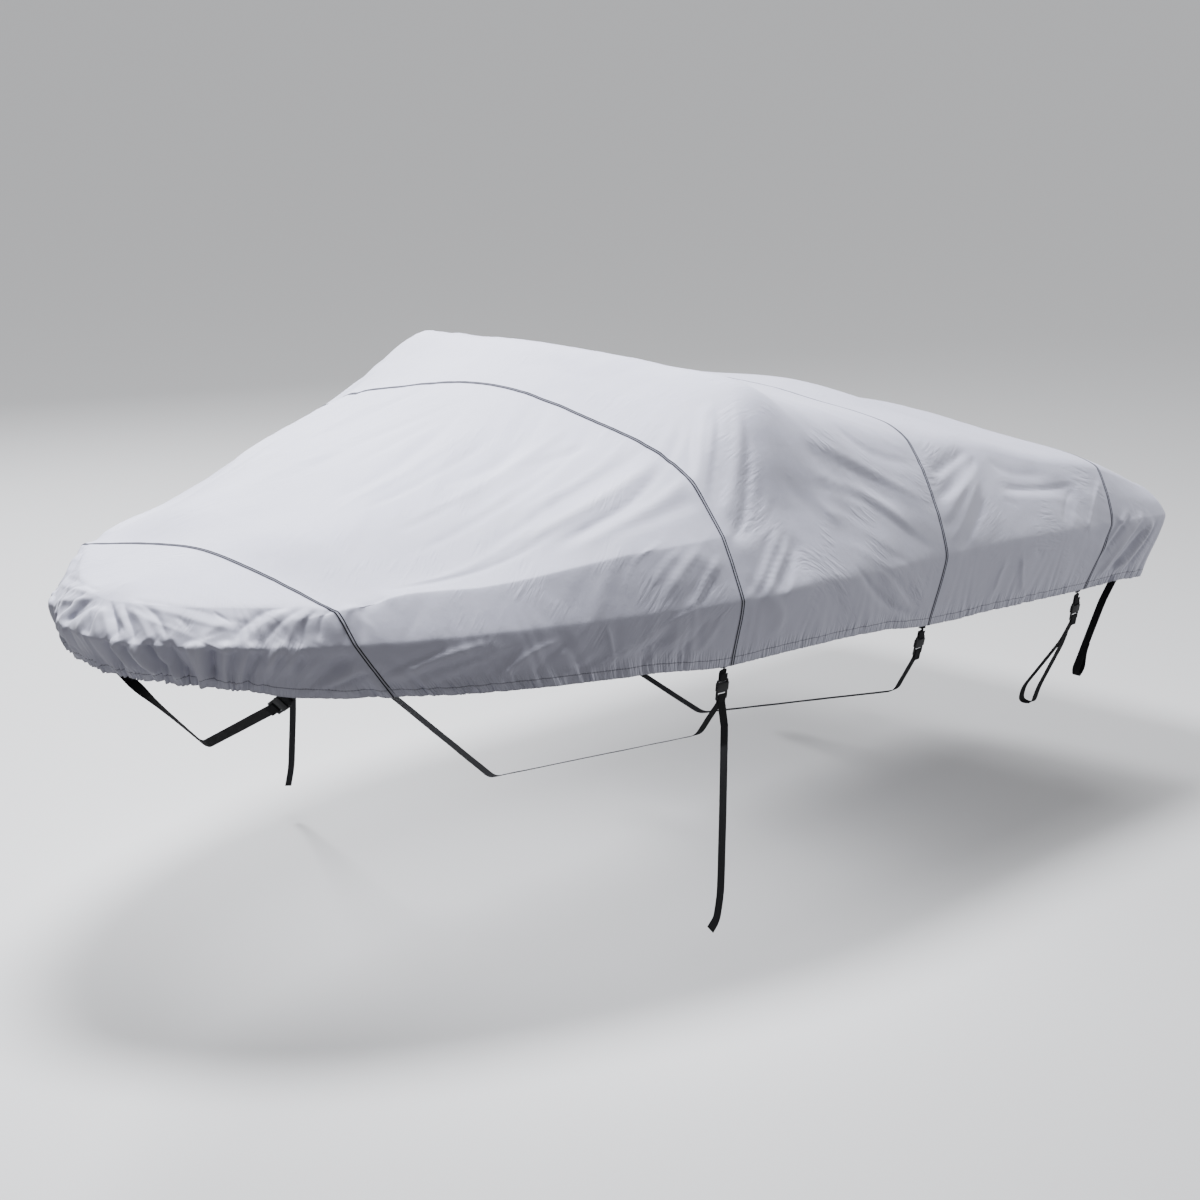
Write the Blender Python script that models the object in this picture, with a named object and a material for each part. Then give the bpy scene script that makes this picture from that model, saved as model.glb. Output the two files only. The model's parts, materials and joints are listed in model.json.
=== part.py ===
# A fitted cover for a small open motor boat, as it hangs over the hull: five sewn
# panels of woven cloth, and webbing straps with side-release buckles below the hem.
# Metres, +Z up. The bow points to -X, port is -Y. The boat itself is not part of it.
# The origin is on the underside of the cloth, on the centreline, where the top of
# the windscreen carries the cover.

import math

import bmesh
import bpy
from mathutils import Matrix, Vector

# ---------------------------------------------------------------- driving sizes

CLOTH = 0.002            # thickness of the woven cloth
PANEL_GAP = 0.0003       # space between two panels along a seam
WEB_WIDTH = 0.038        # strap webbing
WEB_THICK = 0.0016
CREST = Vector((2.40, 0.0, 2.127))   # highest point of the cloth, above the ground line
ORIGIN = CREST - Vector((0.0, 0.0, CLOTH))
GRID_EPS = 1e-5          # tells the grid lines of a buckle apart
FLAT_ANGLE = 1e-3        # faces meeting at less than this many radians are one face

# Table of offsets. Each station is one line of the cover from the spine, over the
# deck edge and the rub rail, to the hem. x is measured aft from just ahead of the
# stem, y is the half breadth, z the height above the ground under the trailer.
# crown lifts the cloth between spine and deck edge; flank pushes it out between
# deck edge and rail. The first station is the stem, the last is the transom's middle.
COLUMNS = ("spine_x", "spine_z", "edge_x", "edge_y", "edge_z",
           "rail_x", "rail_y", "rail_z", "hem_x", "hem_y", "hem_z", "crown", "flank")
STATIONS = {
    "stem":       (0.300, 1.548, 0.222, 0.000, 1.510, 0.130, 0.000, 1.400, 0.204, 0.000, 1.256, 0.003, 0.010),
    "stem_side":  (0.345, 1.556, 0.246, 0.130, 1.511, 0.163, 0.180, 1.400, 0.238, 0.160, 1.254, 0.004, 0.009),
    "bow_front":  (0.405, 1.567, 0.314, 0.268, 1.512, 0.250, 0.335, 1.400, 0.294, 0.322, 1.252, 0.005, 0.008),
    "bow_corner": (0.465, 1.579, 0.402, 0.392, 1.515, 0.360, 0.495, 1.400, 0.393, 0.476, 1.246, 0.006, 0.009),
    "bow_side":   (0.545, 1.594, 0.512, 0.530, 1.519, 0.510, 0.640, 1.400, 0.526, 0.632, 1.220, 0.007, 0.011),
    "seam_1":     (0.638, 1.611, 0.638, 0.643, 1.524, 0.672, 0.770, 1.402, 0.790, 0.832, 1.208, 0.012, 0.014),
    "bow_deck":   (0.870, 1.673, 0.870, 0.716, 1.552, 0.885, 0.886, 1.399, 0.995, 0.952, 1.197, 0.058, 0.020),
    "foredeck_1": (1.140, 1.748, 1.140, 0.800, 1.572, 1.150, 1.004, 1.397, 1.220, 1.056, 1.190, 0.064, 0.022),
    "foredeck_2": (1.640, 1.882, 1.640, 0.930, 1.690, 1.660, 1.172, 1.390, 1.680, 1.184, 1.170, 0.034, 0.030),
    "seam_2":     (2.092, 2.006, 2.092, 0.990, 1.792, 2.092, 1.268, 1.373, 2.092, 1.218, 1.124, 0.044, 0.022),
    "screen_foot": (2.250, 2.066, 2.290, 0.965, 1.901, 2.290, 1.282, 1.366, 2.290, 1.229, 1.121, 0.040, 0.000),
    "crest":      (2.400, 2.127, 2.520, 0.938, 2.032, 2.480, 1.286, 1.359, 2.480, 1.227, 1.112, 0.022, -0.022),
    "crest_aft":  (2.560, 2.088, 2.680, 0.968, 1.958, 2.680, 1.284, 1.349, 2.680, 1.219, 1.100, 0.028, -0.008),
    "cockpit":    (2.950, 1.975, 2.980, 1.000, 1.852, 2.980, 1.272, 1.336, 2.980, 1.198, 1.074, 0.034, 0.014),
    "seam_3":     (3.348, 1.890, 3.348, 1.045, 1.748, 3.348, 1.250, 1.321, 3.348, 1.169, 1.020, 0.040, 0.028),
    "seat_back":  (3.850, 1.810, 3.850, 1.030, 1.645, 3.850, 1.240, 1.297, 3.850, 1.148, 0.988, 0.014, 0.016),
    "aft_deck":   (4.220, 1.690, 4.220, 1.080, 1.538, 4.220, 1.228, 1.268, 4.220, 1.134, 0.963, 0.020, 0.014),
    "seam_4":     (4.596, 1.592, 4.596, 1.118, 1.455, 4.596, 1.203, 1.237, 4.530, 1.118, 0.940, 0.020, 0.010),
    "quarter":    (4.720, 1.500, 4.800, 1.124, 1.378, 4.830, 1.200, 1.218, 4.740, 1.128, 0.938, 0.020, 0.010),
    "corner_in":  (4.800, 1.440, 4.965, 1.124, 1.312, 5.015, 1.192, 1.200, 4.920, 1.134, 0.926, 0.020, 0.010),
    "corner_out": (4.855, 1.405, 5.048, 1.040, 1.290, 5.115, 1.106, 1.190, 5.000, 1.056, 0.914, 0.016, 0.012),
    "transom_1":  (4.900, 1.380, 5.070, 0.620, 1.296, 5.140, 0.640, 1.190, 5.018, 0.620, 0.914, 0.012, 0.012),
    "transom_mid": (4.930, 1.366, 5.076, 0.000, 1.304, 5.146, 0.000, 1.194, 5.024, 0.000, 0.916, 0.008, 0.012),
}

# Levels down a station: 0 spine, 1 crown, 2 deck edge, 3 flank, 4 rail, 5 hem.
SPINE, CROWN, EDGE, FLANK, RAIL, HEM = range(6)
SOFTNESS = (1.0, 1.0, 0.50, 1.0, 0.40, 1.0)      # small values bend the cloth sharply
LEVEL_GIRTH = (0.0, 0.50, 1.00, 1.24, 1.50, 1.78)  # usual distance from the spine, in metres

PANELS = {
    # name: first station, last station, columns of cells
    "bow_panel": ("stem", "seam_1", 16),
    "foredeck_panel": ("seam_1", "seam_2", 20),
    "cockpit_panel": ("seam_2", "seam_3", 19),
    "aft_panel": ("seam_3", "seam_4", 18),
    "stern_panel": ("seam_4", "transom_mid", 15),
}
CELLS_BETWEEN_LEVELS = (3, 3, 3, 3, 4)

# ---------------------------------------------------------------- smooth curves


def hermite(a, b, slope_a, slope_b, run, t):
    """Cubic between two values with given slopes, t from 0 to 1 over a run."""
    t2 = t * t
    t3 = t2 * t
    return ((2.0 * t3 - 3.0 * t2 + 1.0) * a + (t3 - 2.0 * t2 + t) * run * slope_a
            + (3.0 * t2 - 2.0 * t3) * b + (t3 - t2) * run * slope_b)


def steady_slopes(places, values):
    """Slopes that never make the curve overshoot its values."""
    steps = [b - a for a, b in zip(places, places[1:])]
    rises = [(b - a) / h for a, b, h in zip(values, values[1:], steps)]
    slopes = [rises[0]]
    for before, after, h0, h1 in zip(rises, rises[1:], steps, steps[1:]):
        if before * after <= 0.0:
            slopes.append(0.0)
        else:
            w0 = 2.0 * h1 + h0
            w1 = h1 + 2.0 * h0
            slopes.append((w0 + w1) / (w0 / before + w1 / after))
    slopes.append(rises[-1])
    return slopes


def mirrored_rows():
    """Every station's rail distance and values, carried on past both ends by symmetry."""
    rows = [dict(zip(COLUMNS, row)) for row in STATIONS.values()]
    places = [0.0]
    for a, b in zip(rows, rows[1:]):
        step = Vector((b["rail_x"] - a["rail_x"], b["rail_y"] - a["rail_y"], b["rail_z"] - a["rail_z"]))
        places.append(places[-1] + step.length)
    end = places[-1]
    front = [(-places[i], rows[i], -1.0) for i in (2, 1)]
    middle = [(place, row, 1.0) for place, row in zip(places, rows)]
    back = [(2.0 * end - places[i], rows[i], -1.0) for i in (len(rows) - 2, len(rows) - 3)]
    return front + middle + back, dict(zip(STATIONS, places)), end


ROWS, RAIL_PLACE, RAIL_END = mirrored_rows()
ROW_PLACES = [row[0] for row in ROWS]


def column_curve(name):
    sign_matters = name.endswith("_y")
    values = [row[1][name] * (row[2] if sign_matters else 1.0) for row in ROWS]
    return values, steady_slopes(ROW_PLACES, values)


CURVES = {name: column_curve(name) for name in COLUMNS}


def column_value(name, s):
    values, slopes = CURVES[name]
    i = 0
    while i < len(ROW_PLACES) - 2 and s > ROW_PLACES[i + 1]:
        i += 1
    run = ROW_PLACES[i + 1] - ROW_PLACES[i]
    return hermite(values[i], values[i + 1], slopes[i], slopes[i + 1], run, (s - ROW_PLACES[i]) / run)


SECTION_CACHE = {}


def section(s):
    """Six points from spine to hem on the port side, s metres round the rail from the stem."""
    if s not in SECTION_CACHE:
        v = {name: column_value(name, s) for name in COLUMNS}
        spine = Vector((v["spine_x"], 0.0, v["spine_z"]))
        edge = Vector((v["edge_x"], -v["edge_y"], v["edge_z"]))
        rail = Vector((v["rail_x"], -v["rail_y"], v["rail_z"]))
        hem = Vector((v["hem_x"], -v["hem_y"], v["hem_z"]))
        crown = (spine + edge) / 2.0 + Vector((0.0, 0.0, v["crown"]))
        drop = edge - rail
        along = Vector((rail.x - spine.x, rail.y - spine.y, 0.0)).normalized()
        out = (along * drop.z - Vector((0.0, 0.0, 1.0)) * drop.dot(along)).normalized()
        flank = (edge + rail) / 2.0 + out * v["flank"]
        SECTION_CACHE[s] = (spine, crown, edge, flank, rail, hem)
    return SECTION_CACHE[s]


def fair_point(s, k, side):
    """The smooth cover at s metres round the rail and level k; side 1 port, -1 starboard."""
    if s < 0.0:
        return fair_point(-s, k, -side)
    if s > RAIL_END:
        return fair_point(2.0 * RAIL_END - s, k, -side)
    if k < 0.0:
        return fair_point(s, -k, -side)
    points = section(s)
    i = min(int(k), HEM - 1)
    flip = Vector((1.0, -1.0, 1.0))
    before = points[i - 1] if i > 0 else points[1] * flip
    a, b = points[i], points[i + 1]
    after = points[i + 2] if i + 2 <= HEM else b + (b - a)
    run_0, run_1, run_2 = (a - before).length, (b - a).length, (after - b).length
    slope_a = ((a - before) / run_0 * run_1 + (b - a) / run_1 * run_0) / (run_0 + run_1)
    slope_b = ((b - a) / run_1 * run_2 + (after - b) / run_2 * run_1) / (run_1 + run_2)
    p = hermite(a, b, slope_a * SOFTNESS[i], slope_b * SOFTNESS[i + 1], run_1, k - i)
    return Vector((p.x, p.y * side, p.z))


def outward(s, k, side):
    """Unit normal of the smooth cover, away from the boat."""
    ds, dk = 0.004, 0.02
    if k < dk:
        port = slope_normal(s, dk, 1.0, ds, dk)
        starboard = slope_normal(s, dk, -1.0, ds, dk)
        return (port + starboard).normalized()
    return slope_normal(s, k, side, ds, dk)


def slope_normal(s, k, side, ds, dk):
    low = min(k - dk / 2.0, HEM - dk)
    along = fair_point(s + ds, k, side) - fair_point(s - ds, k, side)
    down = fair_point(s, low + dk, side) - fair_point(s, low, side)
    n = down.cross(along) if side > 0.0 else along.cross(down)
    return n.normalized()


# ---------------------------------------------------------------- folds and gathers

# Each fold of the port side is a soft ridge (height above 0) or trough (below 0)
# between two places, given as metres round the rail from the stem and a level.
# A place below 0 is past the stem, on the starboard bow. width is the half width.
FOLD_COLUMNS = ("s_from", "k_from", "s_to", "k_to", "width", "height")
FOLDS = (
    # bow: pleats from the deck edge, over the rub rail, to the gathered hem
    (-0.43, 2.70, -0.06, 2.30, 0.050, 0.009),
    (-0.32, 3.40, -0.03, 2.45, 0.040, -0.007),
    (-0.10, 3.90, -0.01, 2.55, 0.045, 0.008),
    (0.11, 2.60, 0.19, 4.10, 0.040, 0.009),
    (0.19, 4.10, 0.25, 4.70, 0.040, 0.011),
    (0.08, 2.65, 0.15, 3.65, 0.035, -0.008),
    (0.18, 2.50, 0.25, 4.00, 0.040, -0.009),
    (0.25, 4.15, 0.31, 4.70, 0.040, -0.012),
    (0.26, 2.60, 0.35, 3.90, 0.045, 0.008),
    (0.33, 4.30, 0.42, 4.75, 0.045, -0.010),
    (0.43, 3.65, 0.45, 4.75, 0.050, 0.013),
    (0.50, 3.95, 0.48, 4.80, 0.050, -0.013),
    (0.55, 3.60, 0.55, 4.80, 0.040, 0.009),
    (0.72, 2.30, 0.59, 3.50, 0.050, -0.007),
    (0.63, 4.05, 0.58, 4.85, 0.040, -0.009),
    (0.82, 2.45, 0.65, 3.65, 0.050, 0.007),
    (0.70, 4.15, 0.65, 4.85, 0.045, 0.009),
    (0.93, 2.40, 0.82, 3.80, 0.045, -0.007),
    (0.90, 4.35, 0.77, 4.90, 0.045, -0.011),
    (1.04, 4.45, 0.82, 4.90, 0.050, 0.009),
    # skirt below the foredeck
    (1.17, 2.50, 1.03, 3.20, 0.050, -0.007),
    (1.38, 4.30, 0.99, 4.80, 0.050, 0.009),
    (1.52, 4.45, 1.11, 4.80, 0.050, -0.007),
    (1.65, 4.40, 1.40, 4.75, 0.050, 0.008),
    (1.89, 4.45, 1.67, 4.85, 0.050, -0.008),
    (2.12, 4.25, 1.78, 4.80, 0.050, 0.009),
    (2.18, 4.55, 1.94, 4.85, 0.045, -0.007),
    (2.33, 3.80, 2.05, 4.80, 0.050, 0.008),
    # foredeck, running up towards the windscreen
    (2.30, 0.20, 1.47, 0.40, 0.080, -0.006),
    (2.47, 0.55, 1.47, 1.30, 0.080, -0.007),
    (2.40, 1.25, 1.78, 1.00, 0.080, 0.005),
    (2.47, 1.55, 1.67, 1.80, 0.070, -0.014),
    (2.43, 1.75, 1.79, 2.00, 0.060, 0.011),
    (2.43, 1.85, 1.89, 2.25, 0.050, -0.009),
    (2.50, 2.35, 2.02, 2.55, 0.060, 0.006),
    # fan below the corner of the windscreen
    (2.70, 1.70, 2.46, 1.85, 0.050, -0.008),
    (2.74, 1.80, 2.45, 2.40, 0.050, 0.011),
    (2.76, 1.95, 2.50, 2.50, 0.045, -0.010),
    (2.79, 2.05, 2.56, 2.75, 0.045, 0.010),
    (2.77, 2.40, 2.53, 3.10, 0.045, -0.009),
    (2.77, 2.75, 2.54, 3.40, 0.045, 0.007),
    (2.39, 3.25, 2.18, 3.70, 0.050, 0.007),
    (2.40, 3.45, 2.25, 4.05, 0.045, -0.007),
    (2.73, 3.30, 2.52, 3.90, 0.045, -0.008),
    (2.80, 3.35, 2.57, 3.85, 0.045, 0.009),
    (2.87, 3.40, 2.66, 3.90, 0.045, -0.007),
    # long folds beside the cockpit, and the skirt under them
    (3.11, 2.30, 3.68, 3.05, 0.060, 0.012),
    (3.04, 2.45, 3.54, 3.05, 0.050, -0.013),
    (3.07, 2.65, 3.61, 3.45, 0.055, 0.010),
    (3.03, 2.75, 3.64, 3.75, 0.055, -0.014),
    (3.04, 2.85, 3.45, 3.80, 0.060, 0.010),
    (3.14, 3.05, 3.49, 3.95, 0.050, -0.009),
    (3.52, 1.65, 3.76, 2.45, 0.070, -0.009),
    (3.20, 3.90, 3.68, 4.85, 0.050, -0.012),
    (3.31, 4.05, 3.74, 4.80, 0.045, 0.011),
    (2.87, 3.80, 2.64, 4.60, 0.060, 0.008),
    # fan below the seat back, and the aft deck
    (4.12, 2.25, 3.78, 2.60, 0.045, -0.009),
    (4.12, 2.35, 3.81, 2.85, 0.045, 0.009),
    (4.15, 2.35, 3.76, 3.05, 0.040, -0.011),
    (4.13, 2.60, 3.78, 3.40, 0.050, 0.010),
    (4.10, 3.15, 3.83, 3.95, 0.045, -0.009),
    (4.15, 3.30, 3.93, 3.90, 0.050, 0.006),
    (4.25, 2.25, 4.63, 2.40, 0.070, -0.009),
    (4.25, 2.90, 4.77, 2.80, 0.050, -0.012),
    (4.88, 2.85, 4.76, 4.05, 0.045, 0.009),
    (4.76, 2.80, 4.61, 3.75, 0.045, -0.007),
    (4.32, 4.30, 4.39, 4.80, 0.050, 0.006),
    # stern corner
    (5.05, 3.90, 5.00, 4.75, 0.050, -0.008),
    (5.18, 3.95, 5.05, 4.80, 0.050, 0.011),
    (5.24, 4.20, 5.14, 4.85, 0.045, -0.010),
    (5.31, 4.05, 5.22, 4.85, 0.050, 0.009),
)

# The starboard side falls into the same families of folds, each one moved along the
# rail and made slacker than its twin by amounts that change along the boat.
STARBOARD_SHIFT = 0.055
STARBOARD_SWING = 0.35
SHIFT_TURN = 4.1         # radians for each metre of rail
SWING_TURN = 2.9

# Places where a strap is sewn in: the cloth lies flat there.
CALM_HALF_WIDTH = 0.12
CALM_FROM_LEVEL = 4.35
FADE = 0.25              # part of a fold's length over which each end dies away


def level_girth(k):
    i = min(int(k), HEM - 1)
    return LEVEL_GIRTH[i] + (LEVEL_GIRTH[i + 1] - LEVEL_GIRTH[i]) * (k - i)


def ease(t):
    t = max(0.0, min(1.0, t))
    return t * t * (3.0 - 2.0 * t)


def fold_lines(side):
    """The folds of one side as start, run and size, in metres of rail and girth."""
    lines = []
    for row in FOLDS:
        fold = dict(zip(FOLD_COLUMNS, row))
        shift = 0.0
        scale = 1.0
        if side < 0.0:
            middle = (fold["s_from"] + fold["s_to"]) / 2.0
            shift = STARBOARD_SHIFT * math.sin(middle * SHIFT_TURN)
            scale = 1.0 - STARBOARD_SWING * (1.0 + math.cos(middle * SWING_TURN)) / 2.0
        start_g = level_girth(fold["k_from"])
        lines.append((fold["s_from"] + shift, start_g, fold["s_to"] - fold["s_from"],
                      level_girth(fold["k_to"]) - start_g, fold["width"], fold["height"] * scale))
    return lines


FOLD_LINES = {1.0: fold_lines(1.0), -1.0: fold_lines(-1.0)}


def lines_lift(lines, s, g):
    total = 0.0
    for s0, g0, run_s, run_g, width, height in lines:
        away_s = s - s0
        away_g = g - g0
        length_2 = run_s * run_s + run_g * run_g
        t = (away_s * run_s + away_g * run_g) / length_2
        if -FADE < t < 1.0 + FADE:
            across = (away_s * run_g - away_g * run_s) ** 2 / length_2 / (width * width)
            if across < 9.0:
                ends = ease((t + FADE / 2.0) / FADE) * ease((1.0 + FADE / 2.0 - t) / FADE)
                total += height * math.exp(-across) * ends
    return total


def fold_height(s, k, side):
    """How far the folds lift the cloth at one place."""
    g = level_girth(k)
    total = lines_lift(FOLD_LINES[side], s, g)
    total += lines_lift(FOLD_LINES[-side], -s, g) + lines_lift(FOLD_LINES[-side], s, -g)
    low = ease((k - CALM_FROM_LEVEL) / (HEM - CALM_FROM_LEVEL) * 2.0)
    for place in STRAP_PLACES:
        near = math.exp(-((s - place) / CALM_HALF_WIDTH) ** 2)
        total *= 1.0 - low * near
    return total


def cloth_place(s, k, side):
    """A point on the outer face of the draped cloth, from the origin, and its normal."""
    n = outward(s, k, side)
    return fair_point(s, k, side) + n * fold_height(s, k, side) - ORIGIN, n


# ---------------------------------------------------------------- straps

# Where each strap is sewn inside the hem, in metres round the rail from the stem, and
# the middle of its buckle on the port side. The starboard side is its mirror image.
STRAPS = {
    "bow": (0.745, Vector((0.514, -0.552, 1.182))),
    "front": (2.450, Vector((2.060, -1.200, 1.035))),
    "middle": (3.713, Vector((3.320, -1.145, 0.938))),
    "aft": (4.951, Vector((4.495, -1.097, 0.845))),
}
STERN_LOOP_PLACE = 5.640
STRAP_PLACES = [place for place, _ in STRAPS.values()] + [STERN_LOOP_PLACE]

# Where the straps bend on their way round the hull, port side.
STEM_FOOT = Vector((0.625, 0.0, 0.894))
FRONT_CHINE = Vector((2.060, -1.087, 0.839))
FRONT_KEEL = Vector((2.060, 0.0, 0.430))
MIDDLE_CHINE = Vector((3.320, -1.037, 0.729))
MIDDLE_KEEL = Vector((3.320, 0.0, 0.420))
AFT_RUN = (      # down over the chine, under a rail of the trailer and part of the way back
    Vector((4.495, -1.037, 0.704)),
    Vector((4.430, -0.895, 0.480)),
    Vector((4.435, -0.880, 0.415)),
    Vector((4.458, -0.928, 0.405)),
    Vector((4.466, -0.948, 0.480)),
    Vector((4.484, -1.046, 0.690)),
    Vector((4.487, -1.063, 0.742)),
)
STERN_RUN = (    # down the transom to a loop round the same rail
    Vector((4.945, -0.945, 0.780)),
    Vector((4.905, -0.880, 0.540)),
    Vector((4.888, -0.858, 0.455)),
    Vector((4.905, -0.850, 0.415)),
    Vector((4.932, -0.860, 0.455)),
    Vector((4.913, -0.880, 0.540)),
    Vector((4.917, -0.892, 0.585)),
)
PORT_TAIL = (    # the free end of the front strap, hanging plumb and curling forward
    Vector((2.060, -1.214, 0.900)),
    Vector((2.052, -1.218, 0.520)),
    Vector((2.040, -1.222, 0.250)),
    Vector((2.015, -1.226, 0.165)),
    Vector((1.975, -1.230, 0.135)),
)
STARBOARD_TAIL = (
    Vector((2.060, -1.214, 0.900)),
    Vector((2.066, -1.220, 0.480)),
    Vector((2.050, -1.224, 0.200)),
    Vector((2.030, -1.226, 0.120)),
)
TAB_IN_LEVEL = 4.78      # how far up inside the hem a tab is sewn
TAB_DEPTH = 0.0062       # middle of the tab under the outer face of the cloth
BEND_RADIUS = 0.030
BAR_BEND = 0.0030        # bend of webbing round a bar of a buckle
BEND_STEPS = 3
WEB_OFFSET = 0.0044      # middle of the webbing from the middle plane of a buckle

# ---------------------------------------------------------------- buckles

# Sizes of a side-release buckle, from its middle: x across, y through, z up the strap.
BUCKLE_HALF_WIDTH = 0.0280
SLOT_HALF_WIDTH = 0.0215
BODY_HALF_THICK = 0.0065
BAR_HALF_THICK = 0.0030
MOUTH_HALF_THICK = 0.0040
SOCKET_LEVELS = (-0.0020, 0.0060, 0.0180, 0.0240, 0.0290, 0.0360, 0.0410)
PLUG_LEVELS = (-0.0360, -0.0310, -0.0230, -0.0180, -0.0100, -0.0025, 0.0070, 0.0160, 0.0210)
PRONG_X = (0.0050, 0.0120, 0.0210, 0.0260)   # middle prong, side prong in and out, hook
TAB_TURN = 0.0344        # middle of the tab where it passes under the socket's bar
TAB_END = 0.0640
BELT_TURN = -0.0164      # middle of the belt where it passes over the plug's bar
BELT_EXIT = -0.0480
STUB_END = -0.0620
NOSE_TUCK = 0.0020       # the ends of the buckle are this much narrower

# ---------------------------------------------------------------- building helpers


def clear_scene():
    for obj in list(bpy.data.objects):
        bpy.data.objects.remove(obj, do_unlink=True)


def material(name, colour, roughness, metallic=0.0):
    mat = bpy.data.materials.new(name)
    mat.use_nodes = True
    shader = mat.node_tree.nodes["Principled BSDF"]
    shader.inputs["Base Color"].default_value = (*colour, 1.0)
    shader.inputs["Roughness"].default_value = roughness
    shader.inputs["Metallic"].default_value = metallic
    return mat


def solid(name, points, faces, mat):
    """A closed mesh object from points and faces, with its faces turned outwards."""
    mesh = bpy.data.meshes.new(name)
    mesh.from_pydata([tuple(p) for p in points], [], faces)
    bm = bmesh.new()
    bm.from_mesh(mesh)
    bmesh.ops.recalc_face_normals(bm, faces=bm.faces)
    bm.to_mesh(mesh)
    bm.free()
    mesh.materials.append(mat)
    obj = bpy.data.objects.new(name, mesh)
    bpy.context.scene.collection.objects.link(obj)
    return obj


def cell_middle(a, c):
    """The outer face of the cloth midway between two opposite corners of a cell."""
    off_middle = a[1] > 0.0 and a[0] not in (0.0, RAIL_END)
    side = a[2] if off_middle else c[2]
    return cloth_place((a[0] + c[0]) / 2.0, (a[1] + c[1]) / 2.0, side)[0]


def split_cell(corners, points, middle):
    """Two triangles that meet along the diagonal nearer the cloth."""
    a, b, c, d = corners
    miss_ac = ((points[a] + points[c]) / 2.0 - middle).length
    miss_bd = ((points[b] + points[d]) / 2.0 - middle).length
    if miss_ac <= miss_bd:
        return [(a, b, c), (a, c, d)]
    return [(a, b, d), (b, c, d)]


def cloth_solid(name, columns, mat):
    """A sheet of cloth over a grid of (s, k, side) places, with its thickness and rim.

    Both faces are split into triangles along the same diagonals, so they stay apart.
    """
    index = {}
    outer = []
    inner = []
    grid = []
    for column in columns:
        line = []
        for s, k, side in column:
            on_middle = k == 0.0 or s in (0.0, RAIL_END)
            key = (s, k, 0.0 if on_middle else side)
            if key not in index:
                index[key] = len(outer)
                face_point, n = cloth_place(s, k, side)
                outer.append(face_point)
                inner.append(face_point - n * CLOTH)
            line.append(index[key])
        grid.append(line)
    count = len(outer)
    skin = []
    for i, (left, right) in enumerate(zip(grid, grid[1:])):
        for j in range(len(left) - 1):
            middle = cell_middle(columns[i][j], columns[i + 1][j + 1])
            corners = (left[j], right[j], right[j + 1], left[j + 1])
            skin += split_cell(corners, outer, middle)
    edges = {}
    for face in skin:
        for a, b in zip(face, face[1:] + face[:1]):
            edges.setdefault((min(a, b), max(a, b)), []).append((a, b))
    rim = [(b, a, a + count, b + count) for (a, b), *more in edges.values() if not more]
    back = [tuple(i + count for i in reversed(face)) for face in skin]
    return solid(name, outer + inner, skin + back + rim, mat)


def level_steps():
    """Levels of the rows of cells from spine to hem."""
    levels = [0.0]
    for i, cells in enumerate(CELLS_BETWEEN_LEVELS):
        levels += [i + (j + 1) / cells for j in range(cells)]
    return levels


def panel(name, mat):
    first, last, cells = PANELS[name]
    start = RAIL_PLACE[first] + (PANEL_GAP / 2.0 if first != "stem" else 0.0)
    end = RAIL_PLACE[last] - (PANEL_GAP / 2.0 if last != "transom_mid" else 0.0)
    run = [start + (end - start) * i / cells for i in range(cells + 1)]
    run[-1] = end
    levels = level_steps()
    if first == "stem":
        order = [(s, -1.0) for s in reversed(run)] + [(s, 1.0) for s in run[1:]]
        columns = [[(s, k, side) for k in levels] for s, side in order]
    elif last == "transom_mid":
        order = [(s, 1.0) for s in run] + [(s, -1.0) for s in reversed(run[:-1])]
        columns = [[(s, k, side) for k in levels] for s, side in order]
    else:
        rows = [(k, -1.0) for k in reversed(levels)] + [(k, 1.0) for k in levels[1:]]
        columns = [[(s, k, side) for k, side in rows] for s in run]
    return cloth_solid(name, columns, mat)


def block_solid(name, xs, ys, zs, filled, mat):
    """A closed mesh made of the filled cells of a rectangular grid."""
    index = {}
    points = []

    def corner(i, j, k):
        if (i, j, k) not in index:
            index[(i, j, k)] = len(points)
            points.append((xs[i], ys[j], zs[k]))
        return index[(i, j, k)]

    steps = ((1, 0, 0), (-1, 0, 0), (0, 1, 0), (0, -1, 0), (0, 0, 1), (0, 0, -1))
    sides = (
        ((1, 0, 0), (1, 1, 0), (1, 1, 1), (1, 0, 1)),
        ((0, 0, 0), (0, 0, 1), (0, 1, 1), (0, 1, 0)),
        ((0, 1, 0), (0, 1, 1), (1, 1, 1), (1, 1, 0)),
        ((0, 0, 0), (1, 0, 0), (1, 0, 1), (0, 0, 1)),
        ((0, 0, 1), (1, 0, 1), (1, 1, 1), (0, 1, 1)),
        ((0, 0, 0), (0, 1, 0), (1, 1, 0), (1, 0, 0)),
    )
    faces = []
    for i, j, k in filled:
        for step, side in zip(steps, sides):
            if (i + step[0], j + step[1], k + step[2]) not in filled:
                faces.append([corner(i + a, j + b, k + c) for a, b, c in side])
    return solid(name, points, faces, mat)


def join_flat_faces(obj):
    """Dissolve the grid lines between faces that lie in one plane."""
    bm = bmesh.new()
    bm.from_mesh(obj.data)
    bmesh.ops.dissolve_limit(bm, angle_limit=FLAT_ANGLE, verts=bm.verts, edges=bm.edges)
    bm.to_mesh(obj.data)
    bm.free()
    return obj


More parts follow.
